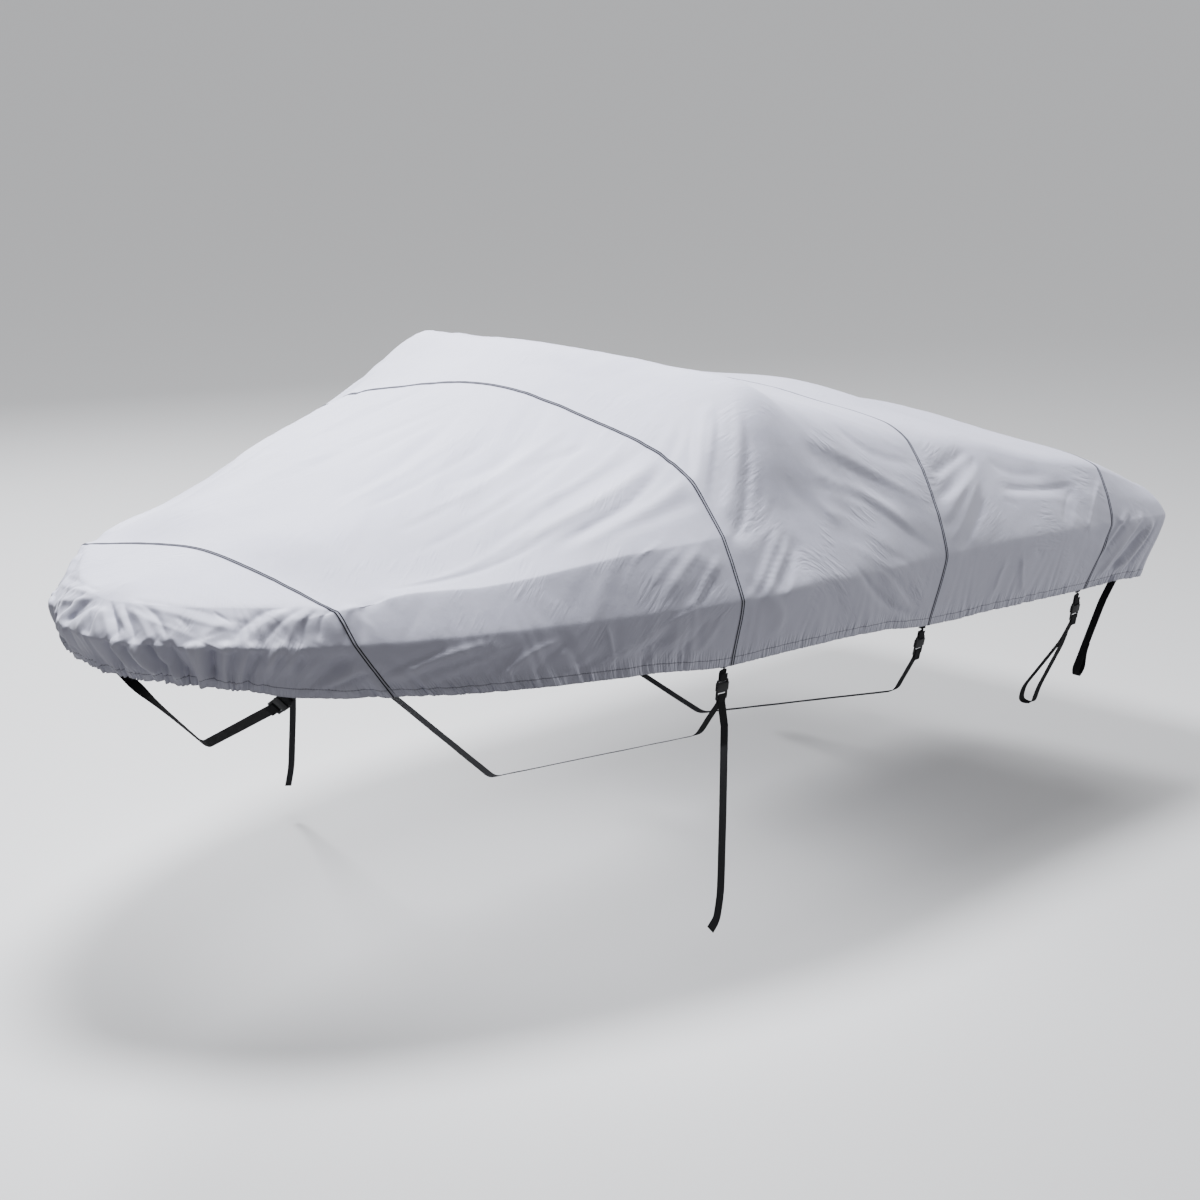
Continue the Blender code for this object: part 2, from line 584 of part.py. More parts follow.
def socket_solid(name, mat):
    """The half of a buckle that stays on the cover: mouth below, slot and bar above."""
    xs = (-BUCKLE_HALF_WIDTH, -SLOT_HALF_WIDTH, SLOT_HALF_WIDTH, BUCKLE_HALF_WIDTH)
    ys = (-BODY_HALF_THICK, -MOUTH_HALF_THICK, MOUTH_HALF_THICK, BODY_HALF_THICK)
    filled = set()
    for k in range(len(SOCKET_LEVELS) - 1):
        for i in range(3):
            for j in range(3):
                in_mouth = k <= 2 and j == 1 and (i == 1 or k == 1)
                above_body = k >= 4 and j != 1
                in_slot = k == 4 and i == 1
                if not (in_mouth or above_body or in_slot):
                    filled.add((i, j, k))
    obj = block_solid(name, xs, ys, SOCKET_LEVELS, filled, mat)
    for vertex in obj.data.vertices:
        if vertex.co.z > SOCKET_LEVELS[5] - GRID_EPS:
            vertex.co.y = math.copysign(BAR_HALF_THICK, vertex.co.y)
        if vertex.co.z > SOCKET_LEVELS[6] - GRID_EPS and abs(vertex.co.x) > SLOT_HALF_WIDTH + GRID_EPS:
            vertex.co.x -= math.copysign(NOSE_TUCK, vertex.co.x)
    return join_flat_faces(obj)


def plug_solid(name, mat):
    """The half of a buckle that carries the belt: two slots below, three prongs above."""
    middle, side_in, side_out, hook = PRONG_X
    right = (middle, side_in, side_out, hook, BUCKLE_HALF_WIDTH)
    xs = tuple(-x for x in reversed(right)) + right
    ys = (-BAR_HALF_THICK, BAR_HALF_THICK)
    last = len(xs) - 2
    filled = set()
    for k in range(len(PLUG_LEVELS) - 1):
        for i in range(last + 1):
            from_end = min(i, last - i)      # 0 edge, 1 hook, 2 side prong, 3 gap, 4 middle
            if k in (1, 3):
                solid_here = from_end <= 1
            elif k <= 4:
                solid_here = True
            elif k == 5:
                solid_here = from_end in (2, 4)
            elif k == 6:
                solid_here = from_end in (1, 2, 4)
            else:
                solid_here = from_end == 2
            if solid_here:
                filled.add((i, 0, k))
    obj = block_solid(name, xs, ys, PLUG_LEVELS, filled, mat)
    for vertex in obj.data.vertices:
        at_foot = vertex.co.z < PLUG_LEVELS[0] + GRID_EPS
        if at_foot and abs(vertex.co.x) > hook + GRID_EPS:
            vertex.co.x -= math.copysign(NOSE_TUCK / 2.0, vertex.co.x)
    return join_flat_faces(obj)


def rounded(path, radius):
    """A path of (point, width direction) with every bend turned into a short curve."""
    smooth = [path[0]]
    for (a, _), (corner, wide), (b, _) in zip(path, path[1:], path[2:]):
        back = a - corner
        ahead = b - corner
        cut = min(radius, back.length * 0.45, ahead.length * 0.45)
        first = corner + back.normalized() * cut
        last = corner + ahead.normalized() * cut
        for i in range(BEND_STEPS + 1):
            t = i / BEND_STEPS
            p = first * (1.0 - t) ** 2 + corner * 2.0 * t * (1.0 - t) + last * t * t
            smooth.append((p, wide))
    smooth.append(path[-1])
    return smooth


def ribbon(name, path, mat):
    """Flat webbing along a path of (point, width direction)."""
    points = []
    faces = []
    for i, (p, wide) in enumerate(path):
        ahead = path[min(i + 1, len(path) - 1)][0]
        behind = path[max(i - 1, 0)][0]
        along = (ahead - behind).normalized()
        across = (wide - along * wide.dot(along)).normalized() * (WEB_WIDTH / 2.0)
        through = along.cross(across).normalized() * (WEB_THICK / 2.0)
        points += [p - across - through, p + across - through, p + across + through, p - across + through]
    for i in range(len(path) - 1):
        a = 4 * i
        for j in range(4):
            k = (j + 1) % 4
            faces.append((a + j, a + k, a + 4 + k, a + 4 + j))
    faces.append((3, 2, 1, 0))
    end = 4 * (len(path) - 1)
    faces.append((end, end + 1, end + 2, end + 3))
    return solid(name, points, faces, mat)


def to_side(p, side):
    """A place of the port side's table, from the origin, on either side."""
    return Vector((p.x, p.y * side, p.z)) - ORIGIN


def hem_tangent(s, side):
    return (fair_point(s + WEB_WIDTH, HEM, side) - fair_point(s - WEB_WIDTH, HEM, side)).normalized()


def inside_hem(s, k, side):
    p, n = cloth_place(s, k, side)
    return p - n * TAB_DEPTH


class StrapFrame:
    """Where one strap leaves the hem and how its buckle lies there."""

    def __init__(self, strap, side):
        self.place, middle = STRAPS[strap]
        self.side = side
        self.middle = to_side(middle, side)
        self.hem = inside_hem(self.place, HEM, side)
        self.up = (self.hem - self.middle).normalized()
        n = outward(self.place, HEM, side)
        self.out = (n - self.up * n.dot(self.up)).normalized()
        self.wide = self.out.cross(self.up)

    def at(self, y, z):
        """A point y out and z up from the buckle's middle."""
        return self.middle + self.out * y + self.up * z

    def matrix(self):
        turn = Matrix((self.wide, self.out, self.up)).transposed().to_4x4()
        return Matrix.Translation(self.middle) @ turn

    def sewn_end(self):
        """The webbing inside the hem, from its end down to the hem."""
        wide = hem_tangent(self.place, self.side)
        return [(inside_hem(self.place, TAB_IN_LEVEL, self.side), wide), (self.hem, wide)]

    def tab(self):
        """From inside the hem, round the socket's bar and up again in front."""
        loop = [(self.at(-WEB_OFFSET, TAB_END), self.wide), (self.at(-WEB_OFFSET, TAB_TURN), self.wide),
                (self.at(WEB_OFFSET, TAB_TURN), self.wide), (self.at(WEB_OFFSET, TAB_END), self.wide)]
        return self.sewn_end() + rounded(loop, BAR_BEND)

    def belt_start(self, tail):
        """The belt from its free end in front, over the plug's bar and out behind."""
        turn = [(self.at(WEB_OFFSET, BELT_EXIT), self.wide), (self.at(WEB_OFFSET, BELT_TURN), self.wide),
                (self.at(-WEB_OFFSET, BELT_TURN), self.wide), (self.at(-WEB_OFFSET, BELT_EXIT), self.wide)]
        return tail + rounded(turn, BAR_BEND)

    def stub(self):
        return [(self.at(WEB_OFFSET, STUB_END), self.wide)]

    def hanging_tail(self, run):
        down = rounded([(to_side(p, self.side), self.wide) for p in run], BEND_RADIUS)
        return list(reversed(down))

    def run(self, places, wide=None):
        """Places along the hull with the belt's width direction there."""
        return [(to_side(p, self.side), wide or self.wide) for p in places]


def place_buckle(strap, suffix, frame, socket_mesh, plug_mesh):
    for kind, mesh in (("socket", socket_mesh), ("plug", plug_mesh)):
        obj = bpy.data.objects.new(strap + "_" + kind + suffix, mesh)
        obj.matrix_world = frame.matrix()
        bpy.context.scene.collection.objects.link(obj)


# ---------------------------------------------------------------- the cover

clear_scene()
cover_cloth = material("cover_cloth", (0.46, 0.47, 0.52), 0.75)
black_webbing = material("black_webbing", (0.012, 0.012, 0.013), 0.80)
black_plastic = material("black_plastic", (0.015, 0.015, 0.016), 0.40)
for panel_name in PANELS:
    panel(panel_name, cover_cloth)

# One buckle is modelled and shared; the first pair of objects is only its pattern.
socket_pattern = socket_solid("socket_pattern", black_plastic)
plug_pattern = plug_solid("plug_pattern", black_plastic)
socket_data = socket_pattern.data
plug_data = plug_pattern.data
bpy.data.objects.remove(socket_pattern)
bpy.data.objects.remove(plug_pattern)

BOTH_SIDES = (("_port", 1.0), ("_starboard", -1.0))

# Bow and middle straps: buckle on the port side, sewn plainly into the starboard hem.
BELTS = {"bow": (STEM_FOOT,), "middle": (MIDDLE_CHINE, MIDDLE_KEEL)}
for strap, bends in BELTS.items():
    port = StrapFrame(strap, 1.0)
    far = StrapFrame(strap, -1.0)
    place_buckle(strap, "", port, socket_data, plug_data)
    ribbon(strap + "_tab", port.tab(), black_webbing)
    keel = (port.wide - far.wide).normalized()
    route = port.run(bends[:-1]) + port.run(bends[-1:], keel)
    route += [(p, -wide) for p, wide in reversed(far.run(bends[:-1]))]
    sewn = [(p, wide) for p, wide in reversed(far.sewn_end())]
    start = port.belt_start(port.stub())
    whole = rounded([start[-1]] + route + sewn, BEND_RADIUS)
    ribbon(strap + "_belt", start[:-1] + whole, black_webbing)

# Front strap: a buckle on both sides, each with a long free end.
frames = {suffix: StrapFrame("front", side) for suffix, side in BOTH_SIDES}
for suffix, frame in frames.items():
    place_buckle("front", suffix, frame, socket_data, plug_data)
    ribbon("front_tab" + suffix, frame.tab(), black_webbing)
port = frames["_port"]
far = frames["_starboard"]
start = port.belt_start(port.hanging_tail(PORT_TAIL))
finish = [(p, -wide) for p, wide in reversed(far.belt_start(far.hanging_tail(STARBOARD_TAIL)))]
route = port.run([FRONT_CHINE]) + [(to_side(FRONT_KEEL, 1.0), (port.wide - far.wide).normalized())]
route += [(p, -wide) for p, wide in far.run([FRONT_CHINE])]
whole = rounded([start[-1]] + route + [finish[0]], BEND_RADIUS)
ribbon("front_belt", start[:-1] + whole + finish[1:], black_webbing)

# Aft straps and stern loops, one on each side, both going under a rail of the trailer.
for suffix, side in BOTH_SIDES:
    frame = StrapFrame("aft", side)
    place_buckle("aft", suffix, frame, socket_data, plug_data)
    ribbon("aft_tab" + suffix, frame.tab(), black_webbing)
    start = frame.belt_start(frame.stub())
    whole = rounded([start[-1]] + frame.run(AFT_RUN), BEND_RADIUS)
    ribbon("aft_belt" + suffix, start[:-1] + whole, black_webbing)
    wide = hem_tangent(STERN_LOOP_PLACE, side)
    sewn = [(inside_hem(STERN_LOOP_PLACE, k, side), wide) for k in (TAB_IN_LEVEL, HEM)]
    down = [(to_side(p, side), wide) for p in STERN_RUN]
    ribbon("stern_loop" + suffix, rounded(sewn + down, BEND_RADIUS), black_webbing)
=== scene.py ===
import json
import math

import bmesh
import bpy
import numpy as np
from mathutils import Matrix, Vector, noise

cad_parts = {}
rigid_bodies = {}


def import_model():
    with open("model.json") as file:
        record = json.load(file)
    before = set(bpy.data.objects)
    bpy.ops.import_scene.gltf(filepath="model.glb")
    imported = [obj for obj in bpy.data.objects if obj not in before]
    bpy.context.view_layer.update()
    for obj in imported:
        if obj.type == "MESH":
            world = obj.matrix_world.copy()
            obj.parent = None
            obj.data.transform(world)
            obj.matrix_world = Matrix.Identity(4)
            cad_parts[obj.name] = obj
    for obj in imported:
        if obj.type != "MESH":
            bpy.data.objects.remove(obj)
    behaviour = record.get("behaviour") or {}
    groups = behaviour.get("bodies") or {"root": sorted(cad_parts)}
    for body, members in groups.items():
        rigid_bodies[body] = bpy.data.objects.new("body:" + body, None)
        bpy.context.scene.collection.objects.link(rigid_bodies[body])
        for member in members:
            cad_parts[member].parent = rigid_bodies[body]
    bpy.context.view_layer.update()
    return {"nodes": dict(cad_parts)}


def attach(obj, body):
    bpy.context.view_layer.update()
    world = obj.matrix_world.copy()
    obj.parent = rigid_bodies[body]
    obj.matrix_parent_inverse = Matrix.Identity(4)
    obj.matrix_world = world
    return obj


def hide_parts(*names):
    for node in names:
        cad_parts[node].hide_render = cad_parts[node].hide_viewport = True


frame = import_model()


def deselectAll():
    for obj in bpy.context.view_layer.objects:
        obj.select_set(False)


# The cut of the cover. Each station is one line from the spine over the deck edge and the
# rub rail to the hem, in mm: x aft from just ahead of the stem, y half breadth, z above the ground.
# crown lifts the cloth between spine and deck edge, flank pushes it out above the rail.
columnNames = ("spineX", "spineZ", "edgeX", "edgeY", "edgeZ", "railX", "railY", "railZ",
               "hemX", "hemY", "hemZ", "crown", "flank")
stations = {
    "stem":        (300, 1548, 222, 0, 1510, 130, 0, 1400, 204, 0, 1256, 3, 10),
    "stemSide":    (345, 1556, 246, 130, 1511, 163, 180, 1400, 238, 160, 1254, 4, 9),
    "bowFront":    (405, 1567, 314, 268, 1512, 250, 335, 1400, 294, 322, 1252, 5, 8),
    "bowCorner":   (465, 1579, 402, 392, 1515, 360, 495, 1400, 393, 476, 1246, 6, 9),
    "bowSide":     (545, 1594, 512, 530, 1519, 510, 640, 1400, 526, 632, 1220, 7, 11),
    "seam1":       (638, 1611, 638, 643, 1524, 672, 770, 1402, 790, 832, 1208, 12, 14),
    "bowDeck":     (870, 1673, 870, 716, 1552, 885, 886, 1399, 995, 952, 1197, 58, 20),
    "foredeck1":   (1140, 1748, 1140, 800, 1572, 1150, 1004, 1397, 1220, 1056, 1190, 64, 22),
    "foredeck2":   (1640, 1882, 1640, 930, 1690, 1660, 1172, 1390, 1680, 1184, 1170, 34, 30),
    "seam2":       (2092, 2006, 2092, 990, 1792, 2092, 1268, 1373, 2092, 1218, 1124, 44, 22),
    "screenFoot":  (2250, 2066, 2290, 965, 1901, 2290, 1282, 1366, 2290, 1229, 1121, 40, 0),
    "crest":       (2400, 2127, 2520, 938, 2032, 2480, 1286, 1359, 2480, 1227, 1112, 22, -22),
    "crestAft":    (2560, 2088, 2680, 968, 1958, 2680, 1284, 1349, 2680, 1219, 1100, 28, -8),
    "cockpit":     (2950, 1975, 2980, 1000, 1852, 2980, 1272, 1336, 2980, 1198, 1074, 34, 14),
    "seam3":       (3348, 1890, 3348, 1045, 1748, 3348, 1250, 1321, 3348, 1169, 1020, 40, 28),
    "seatBack":    (3850, 1810, 3850, 1030, 1645, 3850, 1240, 1297, 3850, 1148, 988, 14, 16),
    "aftDeck":     (4220, 1690, 4220, 1080, 1538, 4220, 1228, 1268, 4220, 1134, 963, 20, 14),
    "seam4":       (4596, 1592, 4596, 1118, 1455, 4596, 1203, 1237, 4530, 1118, 940, 20, 10),
    "quarter":     (4720, 1500, 4800, 1124, 1378, 4830, 1200, 1218, 4740, 1128, 938, 20, 10),
    "cornerIn":    (4800, 1440, 4965, 1124, 1312, 5015, 1192, 1200, 4920, 1134, 926, 20, 10),
    "cornerOut":   (4855, 1405, 5048, 1040, 1290, 5115, 1106, 1190, 5000, 1056, 914, 16, 12),
    "transom1":    (4900, 1380, 5070, 620, 1296, 5140, 640, 1190, 5018, 620, 914, 12, 12),
    "transomMid":  (4930, 1366, 5076, 0, 1304, 5146, 0, 1194, 5024, 0, 916, 8, 12),
}
overFold = {   # where the flank turns down towards the rail: share of the way down, how far out in mm
    "bowSide": (0.42, 18), "seam1": (0.30, 30), "bowDeck": (0.26, 38), "foredeck1": (0.38, 46),
    "foredeck2": (0.46, 58), "seam2": (0.52, 40), "screenFoot": (0.58, 14), "crest": (0.60, -4),
    "crestAft": (0.60, 4),
}
cover = {
    "origin": np.array((2.40, 0.0, 2.125)),
    "softness": np.array((1.0, 1.0, 1.0, 1.0, 0.40, 1.0)),   # small values bend the cloth sharply
    # the same at the deck edge and on the flank, by metres round the rail
    "edgeSoftness": ((0.0, 0.20), (1.06, 0.25), (1.4, 0.90), (3.4, 0.90), (4.2, 0.60), (5.0, 0.40)),
    "flankSoftness": ((0.0, 1.0), (0.85, 0.60), (1.06, 0.25), (2.5, 0.22), (2.9, 0.60), (3.4, 1.0)),
    "thickness": 0.0016,
    "halfJoin": 0.0002,        # half the gap between two panels, and the tape's clearance over it
    "broadShare": 0.75,        # how much the broad folds count
    "crumple": 0.0010,
    "wrinkle": 0.0036,         # height of the fine wrinkles between the folds
    "starboardShift": (0.055, 4.1),   # starboard folds are their port twins, moved and slacker by up to
    "starboardSwing": (0.35, 2.9),    # the first number, in waves of so many radians a metre
    "calmWidth": 0.12,         # the cloth lies flat where a strap is sewn in
    "calmLevel": 4.35,         # from here down, and wholly so from halfway to the hem
    "hemBand": 0.036,          # height of the stitched hem
    "hemRise": 0.0010, "hemStep": 0.004,                        # the hem's doubled cloth and its upper edge
    "rowDent": 0.0012, "rowBelow": 0.004, "rowWidth": 0.0022,   # the row of stitches draws the cloth in
    "hemCrowd": 1.35,          # rows of faces lie closer together towards the hem
    "smooth": 60.0,            # degrees between two faces that are still shaded as one
}


def stationRow(name, row):   # in metres, with the share of the way down last
    share, out = overFold.get(name, (0.5, row[12]))
    return [v / 1000.0 for v in row[:12] + (out,)] + [share]


def runLengths(points):   # length of a line of points up to each of them
    return np.concatenate(([0.0], np.cumsum(np.linalg.norm(np.diff(points, axis=0), axis=1))))


tableValues = np.array([stationRow(name, row) for name, row in stations.items()])
railPlaces = runLengths(tableValues[:, 5:8])
railEnd = railPlaces[-1]
placeOf = dict(zip(stations, railPlaces))
flips = np.array([-1.0 if name.endswith("Y") else 1.0 for name in columnNames + ("flankPlace",)])
runPlaces = np.concatenate((-railPlaces[[2, 1]], railPlaces, 2.0 * railEnd - railPlaces[[-2, -3]]))
runValues = np.vstack((tableValues[[2, 1]] * flips, tableValues, tableValues[[-2, -3]] * flips))


def steadySlopes(places, values):   # slopes that never make a curve overshoot its values
    steps = np.diff(places)[:, None]
    rises = np.diff(values, axis=0) / steps
    before, after, h0, h1 = rises[:-1], rises[1:], steps[:-1], steps[1:]
    same = before * after > 0.0
    safeBefore = np.where(same, before, 1.0)
    safeAfter = np.where(same, after, 1.0)
    w0, w1 = 2.0 * h1 + h0, h1 + 2.0 * h0
    middle = np.where(same, (w0 + w1) / (w0 / safeBefore + w1 / safeAfter), 0.0)
    return np.vstack((rises[:1], middle, rises[-1:]))


runSlopes = steadySlopes(runPlaces, runValues)


def cubic(a, b, slopeA, slopeB, run, t):
    t2, t3 = t * t, t * t * t
    return ((2.0 * t3 - 3.0 * t2 + 1.0) * a + (t3 - 2.0 * t2 + t) * run * slopeA
            + (3.0 * t2 - 2.0 * t3) * b + (t3 - t2) * run * slopeB)


def unit(v):
    return v / np.maximum(np.linalg.norm(v, axis=-1, keepdims=True), 1e-12)


def sections(s):   # spine, crown, edge, flank, rail and hem points of the port side
    i = np.clip(np.searchsorted(runPlaces, s, side="left") - 1, 0, len(runPlaces) - 2)
    run = (runPlaces[i + 1] - runPlaces[i])[:, None]
    t = (s - runPlaces[i])[:, None] / run
    v = cubic(runValues[i], runValues[i + 1], runSlopes[i], runSlopes[i + 1], run, t)
    zero = np.zeros(len(s))
    spine = np.stack((v[:, 0], zero, v[:, 1]), axis=1)
    edge = np.stack((v[:, 2], -v[:, 3], v[:, 4]), axis=1)
    rail = np.stack((v[:, 5], -v[:, 6], v[:, 7]), axis=1)
    hem = np.stack((v[:, 8], -v[:, 9], v[:, 10]), axis=1)
    crown = (spine + edge) / 2.0 + np.stack((zero, zero, v[:, 11]), axis=1)
    drop = edge - rail
    along = rail - spine
    along[:, 2] = 0.0
    along = unit(along)
    out = unit(along * drop[:, 2:] - np.array((0.0, 0.0, 1.0)) * np.sum(drop * along, axis=1, keepdims=True))
    flank = edge + (rail - edge) * v[:, 13:14] + out * v[:, 12:13]
    mirror = crown * np.array((1.0, -1.0, 1.0))
    return np.stack((mirror, spine, crown, edge, flank, rail, hem, 2.0 * hem - rail), axis=1)


def fairPoints(s, k, side):   # the smooth cover, s round the rail from the stem, k from spine 0 to hem 5
    s, k, side = (np.array(v, dtype=float) for v in np.broadcast_arrays(s, k, side))
    side = np.where(s < 0.0, -side, side)
    s = np.abs(s)
    side = np.where(s > railEnd, -side, side)
    s = np.where(s > railEnd, 2.0 * railEnd - s, s)
    side = np.where(k < 0.0, -side, side)
    k = np.abs(k)
    points = sections(s)
    i = np.minimum(k.astype(int), 4)
    n = np.arange(len(s))
    before, a, b, after = points[n, i], points[n, i + 1], points[n, i + 2], points[n, i + 3]
    run0, run1, run2 = (np.linalg.norm(v, axis=1)[:, None] for v in (a - before, b - a, after - b))
    slopeA = ((a - before) / run0 * run1 + (b - a) / run1 * run0) / (run0 + run1)
    slopeB = ((b - a) / run1 * run2 + (after - b) / run2 * run1) / (run1 + run2)
    soft = cover["softness"]
    edge, flank = (np.interp(s, *zip(*cover[name])) for name in ("edgeSoftness", "flankSoftness"))
    softA = np.where(i == 2, edge, np.where(i == 3, flank, soft[i]))
    softB = np.where(i == 1, edge, np.where(i == 2, flank, soft[i + 1]))
    p = cubic(a, b, slopeA * softA[:, None], slopeB * softB[:, None], run1, (k - i)[:, None])
    p[:, 1] *= side
    return p - cover["origin"]


def slopeNormals(s, k, side):
    ds, dk = 0.004, 0.02
    low = np.minimum(k - dk / 2.0, 5.0 - dk)
    along = fairPoints(s + ds, k, side) - fairPoints(s - ds, k, side)
    down = fairPoints(s, low + dk, side) - fairPoints(s, low, side)
    return unit(np.cross(down, along) * side[:, None])


def outwards(s, k, side):   # normals of the smooth cover, away from the boat
    own = slopeNormals(s, np.maximum(k, 0.02), side)
    other = slopeNormals(s, np.maximum(k, 0.02), -side)
    return np.where((k < 0.02)[:, None], unit(own + other), own)


def hemGaps(s, k):   # metres from a place down to the hem
    row = np.clip(np.abs(s), 0.0, railEnd) / railEnd * (len(gapTable) - 1)
    column = np.clip(np.abs(k), 0.0, 5.0) / 5.0 * (gapTable.shape[1] - 1)
    i = np.minimum(row.astype(int), len(gapTable) - 2)
    j = np.minimum(column.astype(int), gapTable.shape[1] - 2)
    u, v = row - i, column - j
    return ((gapTable[i, j] * (1 - u) + gapTable[i + 1, j] * u) * (1 - v)
            + (gapTable[i, j + 1] * (1 - u) + gapTable[i + 1, j + 1] * u) * v)


def levelTable():
    rows, columns = 300, 251
    s, k = np.meshgrid(np.linspace(0.0, railEnd, rows), np.linspace(0.0, 5.0, columns), indexing="ij")
    p = fairPoints(s.ravel(), k.ravel(), 1.0).reshape(rows, columns, 3)
    steps = np.linalg.norm(np.diff(p, axis=1), axis=2)
    return np.concatenate((np.cumsum(steps[:, ::-1], axis=1)[:, ::-1], np.zeros((rows, 1))), axis=1)


gapTable = levelTable()

# Broad folds of the port side: from and to (cm round the rail, level in hundredths), half width and
# height in mm. A height above 0 is a ridge and below 0 a trough. Places below 0 are past the stem.
broadFolds = (
    # bow: pleats from the deck edge, over the rub rail, to the gathered hem
    (-43, 270, -6, 230, 50, 9), (-32, 340, -3, 245, 40, -7), (-10, 390, -1, 255, 45, 8),
    (11, 260, 19, 410, 40, 9), (19, 410, 25, 470, 40, 11), (8, 265, 15, 365, 35, -8),
    (18, 250, 25, 400, 40, -9), (25, 415, 31, 470, 40, -12), (26, 260, 35, 390, 45, 8),
    (33, 430, 42, 475, 45, -10), (43, 365, 45, 475, 50, 13), (50, 395, 48, 480, 50, -13),
    (55, 360, 55, 480, 40, 9), (72, 230, 59, 350, 50, -7), (63, 405, 58, 485, 40, -9),
    (82, 245, 65, 365, 50, 7), (75, 375, 65, 485, 45, 7), (93, 240, 82, 380, 45, -7),
    (90, 435, 77, 490, 45, -11), (104, 445, 82, 490, 50, 9),
    # skirt below the foredeck
    (117, 250, 103, 320, 50, -7), (138, 430, 99, 480, 50, 5), (152, 445, 111, 480, 50, -6),
    (165, 440, 140, 475, 50, 4), (189, 445, 167, 485, 50, -8), (212, 425, 178, 480, 50, 6),
    (218, 455, 194, 485, 45, -7), (233, 380, 205, 480, 50, 6),
    # foredeck, running up towards the windscreen
    (230, 20, 147, 40, 80, -6), (247, 55, 147, 130, 80, -7), (240, 125, 178, 100, 80, 5),
    (247, 155, 167, 180, 60, -6), (243, 175, 179, 200, 60, 7), (243, 185, 189, 225, 50, -6),
    (250, 235, 202, 255, 60, 6),
    # fan below the corner of the windscreen
    (270, 170, 246, 185, 50, -8), (274, 180, 245, 240, 50, 11), (276, 195, 250, 250, 45, -10),
    (279, 205, 256, 275, 45, 10), (277, 240, 253, 310, 45, -9), (277, 275, 254, 340, 45, 7),
    (239, 325, 218, 370, 50, 7), (240, 345, 225, 405, 45, -7), (273, 330, 252, 390, 45, -8),
    (280, 335, 257, 385, 45, 9), (287, 340, 266, 390, 45, -7),
    # long folds beside the cockpit, and the skirt under them
    (311, 230, 368, 305, 60, 8), (304, 245, 354, 305, 50, -6), (307, 265, 361, 345, 55, 7),
    (303, 275, 364, 375, 55, -7), (304, 285, 345, 380, 60, 10), (314, 305, 349, 395, 50, -9),
    (352, 165, 376, 245, 70, -5), (320, 390, 368, 485, 50, -12), (331, 405, 374, 480, 45, 11),
    (287, 380, 264, 460, 60, 8),
    # fan below the seat back, and the aft deck
    (412, 225, 378, 260, 45, -9), (412, 235, 381, 285, 45, 9), (415, 235, 376, 305, 40, -11),
    (413, 260, 378, 340, 50, 10), (410, 315, 383, 395, 45, -9), (415, 330, 393, 390, 50, 6),
    (425, 225, 463, 240, 70, -9), (425, 290, 477, 280, 50, -12), (488, 285, 476, 405, 45, 9),
    (476, 280, 461, 375, 45, -7), (432, 430, 439, 480, 50, 6),
    # stern corner
    (505, 390, 500, 475, 50, -8), (518, 395, 505, 480, 50, 11), (524, 420, 514, 485, 45, -10),
    (531, 405, 522, 485, 50, 9),
)


